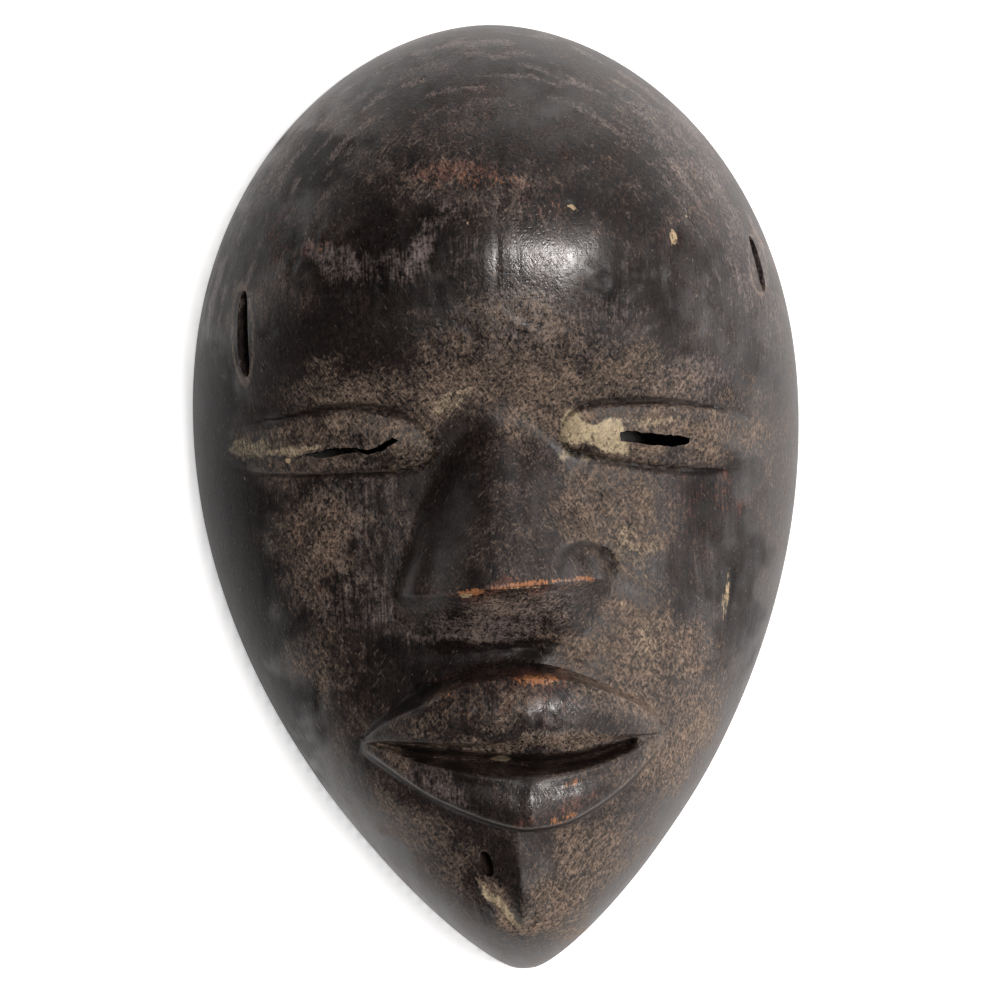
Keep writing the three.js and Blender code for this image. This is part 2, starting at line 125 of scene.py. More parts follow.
# The mouth's lines, each [x, y] from corner to corner, in order from the roof of the upper lip down.
MOUTH_LINES = {
    "roof": [
        (-34.6, -57), (-32, -54), (-26.6, -49.7), (-19, -44.6), (-11, -41.9), (-4, -39.9),
        (1.5, -39.3), (7, -39.9), (14, -41.5), (20, -43.8), (32, -49.4), (35.8, -52.2), (38.2, -57),
    ],
    "crest": [
        (-34.6, -57.6), (-29, -53.4), (-21.6, -50), (-14, -46.4), (-6.5, -43.9), (0, -42.9),
        (6, -42.9), (13.5, -43.8), (20, -45.4), (28, -48.8), (33.2, -52), (36.5, -54.8), (38.2, -57.6),
    ],
    "under": [
        (-34.6, -57.8), (-28, -57.2), (-7, -57.2), (6, -55.6), (20, -56.2), (31, -57.6), (38.2, -57.8),
    ],
    "edge": [
        (-34.6, -58), (-30, -57.6), (-24, -58.2), (-14, -58.9), (-5, -59.9), (3, -60.7), (13, -60.8),
        (20, -60), (30, -58.6), (38.2, -58),
    ],
    "deep": [
        (-34.6, -58.2), (-30, -58.4), (-24, -60), (-17, -62), (-5, -63), (3, -64), (13, -63.8),
        (22, -62.4), (31, -59.6), (38.2, -58.2),
    ],
    "lower": [
        (-34.6, -58.4), (-30, -59.2), (-24, -61.4), (-13, -64.4), (2, -66.3), (18, -65.4),
        (31, -61.6), (38.2, -58.4),
    ],
    "base": [
        (-34.6, -59), (-33, -60), (-27, -64.2), (-18.3, -70), (-7.6, -75), (-0.6, -77.4), (5.3, -78.2),
        (13.8, -77.2), (21.3, -73.7), (30, -67.6), (36.6, -61), (38.2, -58.8),
    ],
}
MOUTH_LEFT, MOUTH_RIGHT, MOUTH_ABOVE, MOUTH_BELOW = -33, 36.5, -35, -86

# The eyelid's step and roll, and the line engraved round it.
LID_STEP, LID_STEP_HALF, LID_ROLL, LID_ROLL_WIDTH = 0.9, 0.45, 1.7, 6
LID_LINE_DEPTH, LID_LINE_OUT, LID_LINE_WIDTH = 0.75, 0.55, 0.65
# The lines above and below each closed eyelid, and where it fades out.
LIDS = [
    (
        (-48, -70),
        [(-70, 13.5), (-64, 18), (-47, 20.8), (-38, 21.8), (-27.5, 20.6), (-18.5, 17.4), (-14.5, 12.5)],
        [(-70, 12), (-58, 8), (-47, 7.1), (-33, 6.8), (-21.4, 7.4), (-16, 9.2), (-14.5, 11.5)],
    ),
    (
        (50, 69),
        [(15.8, 15), (17.7, 18), (22, 20.3), (36, 20.6), (47, 19.9), (59, 17.8), (69, 12)],
        [(15.8, 13), (17.5, 10.8), (28, 8.2), (43, 5.7), (56.5, 5.4), (69, 9)],
    ),
]

# The pierced slits, ragged as they were cut, with the pocket that meets each from behind.
SLITS = [
    (
        [
            (-47.6, 11.3), (-43.3, 10.8), (-40.6, 10.6), (-35.1, 11.4), (-32.8, 11.6), (-30.6, 10.9),
            (-29.1, 11.1), (-26.8, 11.9), (-23, 14.1), (-24.5, 14.7), (-27.7, 13), (-30.6, 11.9),
            (-33.2, 12.5), (-38, 12.8), (-42.3, 12.3),
        ],
        (-34.5, 12.4, 27, 11),
    ),
    (
        [
            (30, 11.9), (33.5, 11.7), (35.8, 11.1), (40.8, 10.5), (43.2, 10.3), (46.7, 11),
            (46.9, 12.2), (44.5, 12.9), (40, 13.4), (35.9, 13.9), (31.7, 14.6), (29.9, 14.3),
        ],
        (38.5, 12.1, 21, 11),
    ),
]
POCKET_ROOF, CUT_BOTTOM, CUT_TOP, RAG_STEP = 4.5, 25, 80, 0.8

# The slots through the side walls: x, y, length, width and the tilt of the cut from upright, in degrees.
SIDE_SLOTS = [(-60.4, 41.5, 21, 4.6, -52), (66.4, 55, 14, 4.2, 60)]
SLOT_REACH = 15
# The pit in the chin: x, y, length, width, depth and turn in degrees.
CHIN_PIT = (-5.5, -88, 6.4, 2.6, 5, 14)

# Each grid: steps across, how far they crowd to the sides and extra places there; then its rows.
SKIN_COLUMNS = (212, 0.25, [0.9925, 0.9965, 0.999])
BROW_Y, CROWN_ROWS, CHIN_ROWS = 44, 105, 50
FACE_ROWS = [(BROW_Y, 24, 28), (24, 4, 34), (4, -18, 34), (-18, MOUTH_ABOVE, 28)]
MOUTH_ROWS = [8, 8, 20, 9, 8, 6, 18, 7, 10]
HOLLOW_COLUMNS = (56, 0.5, [0.99])
HOLLOW_BREAKS, HOLLOW_ROWS, HOLLOW_SKIRT = (40, -60), (28, 36, 24), 2
LINING_UNEVEN, LINING_BUMP = 0.012, 12
WEAR_FADE, SHARP_ANGLE = 0.35, 50


def linear(code):
    """An sRGB hex colour as linear red, green and blue."""
    values = [int(code[i:i + 2], 16) / 255 for i in (1, 3, 5)]
    return tuple(v / 12.92 if v <= 0.04045 else ((v + 0.055) / 1.055) ** 2.4 for v in values)


def ease(a, b, v):
    """A rise from 0 at a to 1 at b, level at both ends: t squared times (3 - 2t)."""
    t = np.clip((v - a) / (b - a), 0, 1)
    return t * t * (3 - 2 * t)


def hump(t):
    """An arch that is 0 at 0 and at 1 and 1 between them: four times t times (1 - t)."""
    return 4 * t * (1 - t)


def bell(distance, width):
    """A soft ridge along a line: e to the minus square of the distance over the width."""
    return np.exp(-((distance / width) ** 2))


def curve(stations, v):
    """A smooth curve through [place, value] stations: cubic between two, sloped as their neighbours lie."""
    at, value = np.array(stations, float).T
    slope = np.gradient(value)
    slope[1:-1] = (value[2:] - value[:-2]) / (at[2:] - at[:-2])
    slope[0] = (value[1] - value[0]) / (at[1] - at[0])
    slope[-1] = (value[-1] - value[-2]) / (at[-1] - at[-2])
    i = np.clip(np.searchsorted(at, v, side="right") - 1, 0, len(at) - 2)
    h = at[i + 1] - at[i]
    t = np.clip((v - at[i]) / h, 0, 1)
    low = (1 + 2 * t) * (1 - t) ** 2 * value[i] + t * (1 - t) ** 2 * h * slope[i]
    high = t * t * (3 - 2 * t) * value[i + 1] + t * t * (t - 1) * h * slope[i + 1]
    return low + high


def half_width(form, y):
    """Half the form's width at height y: a round crown above the widest line, a long jaw below it."""
    up = np.clip((y - WIDEST_Y) / (form["top"] - WIDEST_Y), 0, 1)
    down = np.clip((WIDEST_Y - y) / (WIDEST_Y - form["bottom"] + CHIN_BLUNT), 0, 1)
    crown, jaw = (1 - up ** CROWN_POWER) ** CROWN_ROUND, (1 - down ** JAW_POWER) ** JAW_ROUND
    return form["half"] * np.where(y > WIDEST_Y, crown, jaw)


def centre_line(y):
    """The middle of the outline, which leans a little to the right towards the chin."""
    return curve(CENTRE, y)


def across(form, x, y):
    """The place across the form, from -1 at its left edge to 1 at its right."""
    return np.clip((x - centre_line(y)) / np.maximum(half_width(form, y), 1e-6), -1, 1)


def front(form, x, y):
    """The front before its edges fall away: a middle line, bowed to each side by the square of the place
    across."""
    return curve(form["middle"], y) - curve(form["bow"], y) * across(form, x, y) ** 2


def fall(form, x, y):
    """The fall to the rim, from 1 inside to 0 at the outline: the root of one less a power, for each end
    and both sides."""
    up = np.clip((y - form["crown_from"]) / (form["top"] - form["crown_from"]), 0, 1)
    down = np.clip((form["chin_from"] - y) / (form["chin_from"] - form["bottom"]), 0, 1)
    side = np.abs(across(form, x, y)) ** curve(form["full"], y)
    return np.sqrt(np.clip((1 - up ** CROWN_FALL) * (1 - down ** CHIN_FALL) * (1 - side), 0, 1))


def nose(x, y):
    """The nose's height: a rise along its length times a section that turns from a round bridge into one
    with wings, and a fall under its lower edge."""
    edge = NOSE_EDGE + NOSE_LEAN * (x - NOSE_LEAN_X)
    at = np.maximum(y, edge)
    g = np.clip(np.abs(x - NOSE_X) / curve(NOSE_HALF, at), 0, 1)
    wide = ease(WINGS_FROM, WINGS_TO, at)
    section = (1 - wide) * curve(BRIDGE, g) + wide * curve(WINGS, g)
    under = NOSE_UNDER * (1 - WING_UNDER_CUT * ease(WING_UNDER_FROM, 1, g))
    back = np.clip((edge - y) / under, 0, 1)
    return curve(NOSE_RISE, at) * section * (1 - back) ** NOSE_POWER * (g < 1) * (y < NOSE_TOP)


def mouth(x, y):
    """The mouth's height: up the roof, over the upper lip, under its bevel, into the slot, out over the
    lower lip and down its foot."""
    line = {name: curve(stations, x) for name, stations in MOUTH_LINES.items()}
    reach = MOUTH_HALF - np.abs(x - MOUTH_X)
    full = np.clip(1 - (1 - reach / MOUTH_HALF) ** 2, 0, 1) ** FULL_POWER

    def between(a, b):
        """How far down from line a to line b a point lies, from 0 to 1."""
        return np.clip((line[a] - y) / np.maximum(line[a] - line[b], MOUTH_LEAST), 0, 1)

    crest = CORNER_RISE + UPPER_RISE * full
    edge = crest - (UPPER_SINK + BEVEL) * full
    lower = CORNER_RISE + LOWER_RISE * full
    dip = ease(*SLOT_LEFT, x) * ease(*SLOT_RIGHT, x) * (edge + SLOT_FLOOR * full)
    fold = full * (1 - np.exp(-np.abs(x - FOLD_X) / FOLD_WIDTH))
    upper_lip, lower_lip = between("crest", "under"), between("lower", "base")
    z = crest * between("roof", "crest") ** ROOF_POWER
    z += full * (UPPER_ROLL * hump(upper_lip) - UPPER_SINK * upper_lip)
    z -= full * BEVEL * ease(0, 1, between("under", "edge"))
    z -= dip * ease(0, 1, between("edge", "deep"))
    z += (lower - edge + dip) * ease(0, 1, between("deep", "lower"))
    z += full * (LOWER_SWELL * lower_lip + LOWER_ROLL * hump(lower_lip))
    z -= fold * (UPPER_FOLD * hump(upper_lip) + LOWER_FOLD * ease(0, FOLD_FROM, lower_lip))
    foot = np.clip((line["base"] - y) / MOUTH_FOOT, 0, 1)
    return z * (1 - ease(0, 1, foot)) * ease(0, CORNER_WIDTH, reach)


def lids(x, y):
    """The eyelids' height: a step up at the lid's line, a soft roll inside it and an engraved line round
    it."""
    z = np.zeros_like(x)
    for lid in LIDS:
        d, shown = lid_place(lid, x, y)
        step = LID_STEP * ease(-LID_STEP_HALF, LID_STEP_HALF, d)
        z += shown * (step + LID_ROLL * ease(0, LID_ROLL_WIDTH, d))
        z -= shown * LID_LINE_DEPTH * bell(d + LID_LINE_OUT, LID_LINE_WIDTH)
    return z


def lid_place(lid, x, y):
    """How far inside the lid's lines a point lies, in mm, and how much of the lid shows there."""
    (fade_from, fade_to), top, bottom = lid
    inside = (x > top[0][0]) & (x < top[-1][0])
    d = np.where(inside, np.minimum(curve(top, x) - y, y - curve(bottom, x)), -9)
    return d, 1 - ease(fade_from, fade_to, x)


def ripple(x, y, size, seed, waves=28):
    """Smooth seeded noise near -1 to 1 with bumps of about the given size: a sum of plane waves at random
    angles."""
    random = np.random.default_rng(seed)
    z = np.zeros_like(x)
    for angle, phase, stretch in random.uniform((0, 0, 0.7), (math.tau, math.tau, 1.6), (waves, 3)):
        along = x * math.cos(angle) + y * math.sin(angle)
        z += np.sin(along * math.pi * stretch / size + phase)
    return z * math.sqrt(2 / waves)


def spot(x, y, place):
    """1 inside an ellipse and 0 well outside it, soft between: place is (x, y, half length, half width,
    turn in degrees)."""
    cx, cy, long, wide, turn = place
    c, s = math.cos(math.radians(turn)), math.sin(math.radians(turn))
    u, v = x - cx, y - cy
    d = np.hypot((u * c + v * s) / long, (v * c - u * s) / wide)
    return 1 - ease(0.45, 1.25, d)


def relief(x, y):
    """The carving on the front: the swell of the muzzle, lids, nose and mouth, less the fall beside the
    chin's ridge."""
    aside = np.sqrt((x - centre_line(y)) ** 2 + KEEL_ROUND ** 2) - KEEL_ROUND
    ridge = KEEL_RIDGE * (1 - np.exp(-aside / KEEL_WIDTH))
    keel = (KEEL_SLOPE * aside + ridge) * ease(KEEL_FROM, KEEL_TO, y)
    swell = MUZZLE_HEIGHT * bell(x - MUZZLE_X, MUZZLE_WIDE) * bell(y - MUZZLE_Y, MUZZLE_TALL)
    return swell + lids(x, y) + nose(x, y) + mouth(x, y) - keel


def skin(x, y):
    """The whole outer skin, as the CAD solid has it."""
    return (front(OUTER, x, y) + relief(x, y)) * fall(OUTER, x, y)


# Small hollows cut or worn into the front: x, y, half length, half width, turn in degrees, depth.
SCARS = [
    (-2.6, -98.6, 9, 2.0, -56, 1.0), (4.6, -103, 3.2, 1.2, 70, 0.6), (-16.5, 62, 8, 3.6, -70, 0.45),
    (19.6, 67.6, 1.9, 0.9, -25, 0.5), (44.4, 60.2, 3.4, 1.7, 80, 0.4), (48.4, 65, 1.5, 0.8, 70, 0.4),
    (55.6, -25.6, 8, 1.3, 80, 0.45), (-14.5, 101, 1.6, 0.7, 60, 0.5), (-53.5, 40.5, 2.2, 1.0, 5, 0.4),
    (-44, -46.5, 5, 1.6, 72, 0.5), (1.9, 55.5, 15, 0.55, 88, 0.3), (-22, -62.5, 2, 1, 20, 0.5),
    (-2.9, -62.4, 2.4, 0.8, 0, -0.5), (-48, -4, 3, 1.2, 60, 0.3), (34, 38, 5, 2, 30, 0.3),
    (-30, 52, 6, 3, 60, 0.35), (-24, 66, 5, 2, -60, 0.3), (29, 45, 5, 1.2, 62, 0.45),
    (38, 44, 4, 2, 20, 0.3), (-6, -37.6, 17, 3.2, 5, 0.9),
]
# Patches where the blade left the surface rough: x, y, half length, half width, turn, height in millimetres.
ROUGH = [
    (34, 48, 14, 11, 0, 0.13), (-30, 56, 22, 12, -10, 0.15), (28, -4, 11, 18, 14, 0.12),
    (-2, -30, 22, 5, 3, 0.13), (34, -42, 14, 12, -20, 0.10), (-40, -10, 14, 18, 0, 0.08),
    (4, 38, 24, 8, 0, 0.09), (39, 13, 26, 7, -3, 0.08), (-42, 13, 26, 6, 3, 0.08),
    (-3, -50, 28, 7, 0, 0.07), (16, -92, 10, 10, 30, 0.09), (-4, -98, 10, 5, -56, 0.14),
]
# The crease over the nose's right wing: an ellipse's centre and half sizes.
CREASE = (19.8, -21.5, 8.0, 9.4)
CREASE_DEPTH, BROW_TURN, SCRATCH_FADE = 0.85, 0.55, 3
# Scratched lines: [x, y] stations, half width and depth.
SCRATCHES = [
    ([(-8, -37.8), (4, -36.4), (14, -38.2), (25, -43.6)], 0.28, 0.35),
    ([(-4, -36.4), (6, -34.8), (16, -36.6), (26, -41.2)], 0.26, 0.25),
    ([(21, 21.4), (30, 22.3), (42, 21.9), (50, 20.6)], 0.3, 0.35),
    ([(20, 7.6), (32, 5.9), (44, 4.0), (56, 4.4)], 0.3, 0.3),
    ([(-46, 22.0), (-36, 23.2), (-27, 22.4), (-19, 19.4)], 0.3, 0.25),
]


def wing_crease(x, y, width):
    """1 along the crease over the nose's right wing: a bell over the distance from an ellipse, faded in."""
    cx, cy, rx, ry = CREASE
    ring = np.hypot((x - cx) / rx, (y - cy) / ry)
    return bell(ring - 1, width) * ease(-21, -17, y) * ease(12, 16, x)


def scratch(x, y, stations, width):
    """1 along a scratched line: a bell over the height above its curve, faded out at both ends."""
    first, last = stations[0][0], stations[-1][0]
    shown = ease(first, first + SCRATCH_FADE, x) * ease(last, last - SCRATCH_FADE, x)
    return shown * bell(y - curve(stations, x), width)


def wear(x, y, sizes):
    """Fine relief that the solid leaves out: tool flats, the wing's crease, scars, rough patches and
    scratches."""
    z = sizes.tool_marks / MM * (ripple(x, y, 15, 3) + 0.3 * ripple(x * 2.2, y * 0.6, 5, 4))
    z -= CREASE_DEPTH * wing_crease(x, y, 0.12)
    # The forehead's left half turns away along a faint upright edge.
    z -= BROW_TURN * ease(0.6, -7, x) * ease(-26, -10, x) * ease(38, 48, y) * ease(82, 68, y)
    for *place, depth in SCARS:
        z -= depth * spot(x, y, place)
    rough = np.zeros_like(x)
    for *place, high in ROUGH:
        rough = np.maximum(rough, high * spot(x, y, place))
    z += rough * (ripple(x, y, 2.4, 5, 60) + 0.6 * ripple(x * 1.6, y * 0.7, 1.7, 6, 60))
    for stations, wide, depth in SCRATCHES:
        z -= depth * scratch(x, y, stations, wide)
    return z


def even(first, last, count):
    """Places from first towards last, evenly, without the last."""
    return np.linspace(first, last, count, endpoint=False)


def crowded(first, last, count):
    """Places from first to last that crowd towards the last, by a quarter of a sine."""
    return first + (last - first) * np.sin(np.linspace(0, math.pi / 2, count + 1))


def columns(count, crowding, extra):
    """Places across a row, -1 to 1: a blend of even steps and of a sine that crowds them at the sides."""
    u = np.linspace(-1, 1, count + 1)
    q = (1 - crowding) * u + crowding * np.sin(u * math.pi / 2)
    return np.sort(np.concatenate([q, extra, -np.array(extra)]))


def bent_rows(plain, q, steps):
    """x and y of every grid point. Rows at even heights are straight; the mouth's rows run along its own
    lines,
    each a blend of two neighbouring lines, and straighten again towards the sides."""
    above, below = plain
    y_of, bends = [], []
    names = list(MOUTH_LINES)
    lines = [MOUTH_ABOVE] + names + ["foot", MOUTH_BELOW]

    def height(line, x):
        """The height at x of a straight row, of the mouth's foot or of one of its lines."""
        if isinstance(line, (int, float)):
            return np.full_like(x, line, dtype=float)
        if line == "foot":
            return height("base", x) - MOUTH_FOOT
        return curve(MOUTH_LINES[line], np.clip(x, MOUTH_LEFT, MOUTH_RIGHT))

    middle = np.array([MOUTH_X])
    for first, last, count in zip(lines, lines[1:], steps):
        for f in np.arange(count) / count:
            y_of.append((1 - f) * height(first, middle)[0] + f * height(last, middle)[0])
            bends.append((first, last, f))
    nominal = np.concatenate([above, y_of, below])
    x = centre_line(nominal)[:, None] + half_width(OUTER, nominal)[:, None] * q[None, :]
    y = np.repeat(nominal[:, None], len(q), axis=1)
    hold = 1 - ease(0.55, 0.97, np.abs(q))
    for i, (first, last, f) in enumerate(bends, len(above)):
        bent = (1 - f) * height(first, x[i]) + f * height(last, x[i])
        y[i] += hold * (bent - y[i])
    return x, y


def grid_mesh(name, x, y, z, skirt):
    """A closed body from a grid of points: its height field, drawn down to the rim at the sides and to one
    point
    at each tip, a skirt down to -skirt along the outline, and a flat base."""
    n, m = x.shape
    top = np.arange(n * m).reshape(n, m)
    rim = np.stack([top[:, 0], top[:, -1]], axis=1)
    foot = n * m + np.arange(2 * n).reshape(n, 2)
    z[:, [0, -1]] = 0
    for tip in (0, -1):
        x[tip], z[tip] = centre_line(y[tip]), 0
    points = np.stack([x, y, z], axis=-1).reshape(-1, 3)
    low = points[rim.reshape(-1)].copy()
    low[:, 2] = -skirt
    points = np.concatenate([points, low]) * MM

    def strip(a, b):
        """Four-cornered faces between two rows of points."""
        return np.stack([a[:-1], a[1:], b[1:], b[:-1]], axis=-1).reshape(-1, 4)

    faces = [strip(top[:, j], top[:, j + 1]) for j in range(m - 1)]
    faces += [strip(foot[:, 0], rim[:, 0]), strip(rim[:, 1], foot[:, 1]), strip(foot[:, 1], foot[:, 0])]
    return welded(name, points, np.concatenate(faces))


def welded(name, points, faces):
    """A mesh from points and four-cornered faces, with doubled points merged and collapsed faces
    dropped."""
    mesh = bpy.data.meshes.new(name)
    mesh.from_pydata(points.tolist(), [], faces.tolist())
    work = bmesh.new()
    work.from_mesh(mesh)
    bmesh.ops.remove_doubles(work, verts=work.verts, dist=1e-6)
    bmesh.ops.dissolve_degenerate(work, edges=work.edges, dist=1e-7)
    work.to_mesh(mesh)
    work.free()
    return mesh


def prism(outline, low, high):
    """Points and faces of a straight cutter with the given plan, closed by one flat face at each end."""
    n = len(outline)
    plan = np.array(outline, float)
    points = np.concatenate([np.c_[plan, np.full(n, low)], np.c_[plan, np.full(n, high)]])
    i = np.arange(n)
    j = (i + 1) % n
    sides = np.stack([i, j, j + n, i + n], axis=-1).tolist()
    return points, sides + [list(range(n))[::-1], list(range(n, 2 * n))]


def oval(length, width, count=28):
    """An oval plan about the origin, blunter than an ellipse: cosine and sine to the power 0.8."""
    a = np.linspace(0, math.tau, count, endpoint=False)
    blunt = [np.sign(v) * np.abs(v) ** 0.8 for v in (np.cos(a), np.sin(a))]
    return np.stack([blunt[0] * length / 2, blunt[1] * width / 2], axis=-1)


def turned(points, axis, degrees, place):
    """Points turned about Y or Z by an angle, then moved to a place."""
    c, s = math.cos(math.radians(degrees)), math.sin(math.radians(degrees))
    spin = {
        "Y": [[c, 0, s], [0, 1, 0], [-s, 0, c]],
        "Z": [[c, -s, 0], [s, c, 0], [0, 0, 1]],
    }[axis]
    return points @ np.array(spin).T + np.array(place)


def ragged(outline, step, amount, seed):
    """The outline with points every step along it, each moved a little at random."""
    random = np.random.default_rng(seed)
    plan = np.array(outline, float)
    after = np.roll(plan, -1, axis=0)
    count = np.maximum(np.round(np.linalg.norm(after - plan, axis=1) / step).astype(int), 1)
    dense = np.concatenate([np.linspace(a, b, n, endpoint=False) for a, b, n in zip(plan, after, count)])
    return dense + random.uniform(-amount, amount, dense.shape)


def cutters(rags):
    """Every hole and pit as points and faces of a closed cutter."""
    made = []
    for seed, (outline, (px, py, length, height)) in enumerate(SLITS):
        made.append(prism(ragged(outline, RAG_STEP, rags, seed), CUT_BOTTOM, CUT_TOP))
        plan = oval(length, height) + (px, py)
        made.append(prism(plan, CUT_BOTTOM, float(skin(*plan.T).min()) - POCKET_ROOF))
    for x, y, length, width, tilt in SIDE_SLOTS:
        points, faces = prism(oval(width, length), -SLOT_REACH, SLOT_REACH)
        made.append((turned(points, "Y", tilt, (x, y, skin(np.array(x), np.array(y)))), faces))
    x, y, length, width, depth, turn = CHIN_PIT
    points, faces = prism(oval(width, length), -depth, depth)
    made.append((turned(points, "Z", turn, (x, y, skin(np.array(x), np.array(y)))), faces))
    return made


def new_object(name, mesh):
    """Puts a mesh, a light or a camera into the scene as an object."""
    made = bpy.data.objects.new(name, mesh)
    bpy.context.scene.collection.objects.link(made)
    return made


def cut_away(piece, tool):
    """The piece's mesh with the tool's volume taken out; the tool is deleted. A cut that changes nothing is
    an error."""
    modifier = piece.modifiers.new("cut", "BOOLEAN")
    modifier.operation = "DIFFERENCE"
    modifier.solver = "MANIFOLD"
    modifier.object = tool
    graph = bpy.context.evaluated_depsgraph_get()
    result = bpy.data.meshes.new_from_object(piece.evaluated_get(graph))
    piece.modifiers.remove(modifier)
    old = piece.data
    if len(result.vertices) in (0, len(old.vertices)):
        raise RuntimeError(f"the cut with {tool.name} changed nothing")
    piece.data = result
    bpy.data.meshes.remove(old)
    shape = tool.data
    bpy.data.objects.remove(tool)
    bpy.data.meshes.remove(shape)


def add_node(tree, kind, inputs=None, **settings):
    """Adds a node with its settings; each input is a value or the socket that it is linked to."""
    node = tree.nodes.new(kind)
    for key, value in settings.items():
        setattr(node, key, value)
    for key, value in (inputs or {}).items():
        if isinstance(value, bpy.types.NodeSocket):
            tree.links.new(value, node.inputs[key])
        else:
            node.inputs[key].default_value = value
    return node


# Areas of each finish: x, y, half length, half width, turn in degrees, strength.
# Clay dust, and also painted light on the nose's underside.
DUST_AND_LIGHT = [
    (-42, 13.5, 30, 7.5, 3, 0.34), (-62, 13, 9, 6, 0, 0.5), (-46, -20.5, 5, 9, -8, 0.3),
    (-34, 10.5, 18, 3, 4, 0.33), (-20, 14, 7, 9, 20, 0.51), (-14, 23, 10, 7, 40, 0.41),
    (39, 13.5, 30, 9, -3, 0.54), (22, 14, 6.5, 6.0, 0, 1.1), (5, 27, 20, 8, 0, 0.41),
    (26, 27, 36, 8, -4, 0.41), (-36, 26, 16, 5, 0, 0.25), (56, 20, 14, 9, 0, 0.33),
    (29, -5, 12, 20, 14, 0.5), (9, 18, 11, 4, 0, 0.5), (-38, 28, 18, 7, 4, 0.4),
    (-44, 18, 16, 3, 0, 0.45), (19, -6, 5, 17, 22, 0.4), (33, -42, 20, 17, -20, 0.52),
    (19, -36.5, 15, 7, -10, 0.54), (42, -60, 9, 18, -24, 0.45), (19, -88, 14, 11, 35, 0.51),
    (9, -101, 9, 10, 40, 0.45), (-2.6, -98.6, 9.5, 2.4, -56, 1), (-42, -10, 11, 15, 0, 0.4),
    (-44, -46.5, 5.5, 3, 72, 0.57), (-29, -60.5, 6, 5, 0, 0.45), (-2, -27.5, 26, 4, 4, 0.3),
    (-9, -50.5, 16, 7, 12, 0.33), (3, -58.3, 28, 2.6, 0, 0.51), (-17, -84, 18, 9, -40, 0.22),
    (-52, -20, 11, 20, 10, 0.25), (-24, -78, 15, 7, -45, 0.31), (50, 0, 14, 16, 0, 0.12),
    (4, 40, 24, 11, 0, 0.36), (0, 34, 14, 4, 0, 0.29), (-20, -36, 24, 8, 20, 0.16),
    (30, 72, 26, 20, 0, 0.11), (-20, 84, 30, 22, 0, 0.08), (-48, -34, 12, 16, 15, 0.25),
]
RUSSET = [
    (50, -4, 12, 18, 0, 0.42), (-50, 62, 10, 12, 30, 0.4), (-4, 76, 16, 4.5, -6, 0.7),
    (-42, -8, 9, 13, 0, 0.5), (14, 70, 14, 4, -14, 0.5), (2, -48, 22, 8, 0, 0.45),
    (47, -35, 14, 14, 0, 0.3), (0, -22, 22, 2.4, 3, 0.8), (12, -74, 12, 3, 8, 0.6),
    (8, -44, 12, 4, 0, 0.6), (50, 62, 12, 8, 0, 0.4), (0, 88, 30, 16, 0, 0.3),
]
BARE = [
    (-7.6, -22.4, 4.6, 1.2, 4, 0.95), (6, -20.9, 11, 1.0, 4, 0.8), (19.5, -20.2, 5, 0.9, 3, 0.6),
    (-5, 74.5, 3.4, 3.2, -6, 0.42), (3, 74.0, 7, 1.8, -6, 0.4), (16, 69.0, 7, 1.6, -16, 0.34),
    (8.6, -43.6, 6.5, 1.6, -4, 0.72), (-13, -46.7, 5, 1.2, 24, 0.4), (12.5, -76.4, 7, 1.2, 8, 0.6),
    (15, -68.5, 4, 1.0, 14, 0.5), (-40, 61, 3, 5, 0, 0.35),
]
PALE = [
    (20.2, 67.4, 2.1, 0.75, -28, 1.0), (44.5, 60.4, 3.6, 1.4, 80, 0.64), (48.4, 65, 1.8, 0.9, 70, 0.6),
    (55.6, -25.6, 8.8, 1.1, 80, 0.6), (57.5, -28, 5, 0.6, 74, 0.45), (-50.3, 10.2, 1.0, 0.9, 0, 1.0),
    (-14.5, 101, 1.5, 0.7, 60, 0.6), (28.5, -26.4, 0.8, 0.8, 0, 1.0), (-8.2, -22.9, 2.6, 0.7, 4, 0.8),
    (6, -21.6, 8, 0.5, 4, 0.62), (-2.9, -62.4, 2.2, 0.8, 0, 0.7), (-5, 64.5, 0.5, 0.5, 0, 0.8),
    (27.6, 37.8, 0.6, 0.6, 0, 0.9), (28.1, 41.4, 0.6, 0.6, 0, 0.7), (-53.5, 40.5, 2.0, 1.0, 5, 0.5),
    (11, -44.2, 4, 0.6, -4, 0.5),
]
CLAY = [
    (21.8, 14.2, 6.3, 5.8, 0, 1.5), (27, 10.8, 5, 2.4, -10, 1.1), (-2.6, -98.6, 9, 1.7, -56, 0.7),
    (-60, 13, 7, 4, 0, 0.4), (36, 16.5, 10, 2, 0, 0.4), (-50, 12.5, 10, 1.4, 4, 0.45),
    (-10, 24, 5, 3, 40, 0.35), (35, -38, 8, 6, -20, 0.3), (33, -14, 5, 9, 20, 0.3),
    (-1, -62.5, 2.5, 1, 0, 0.9),
]
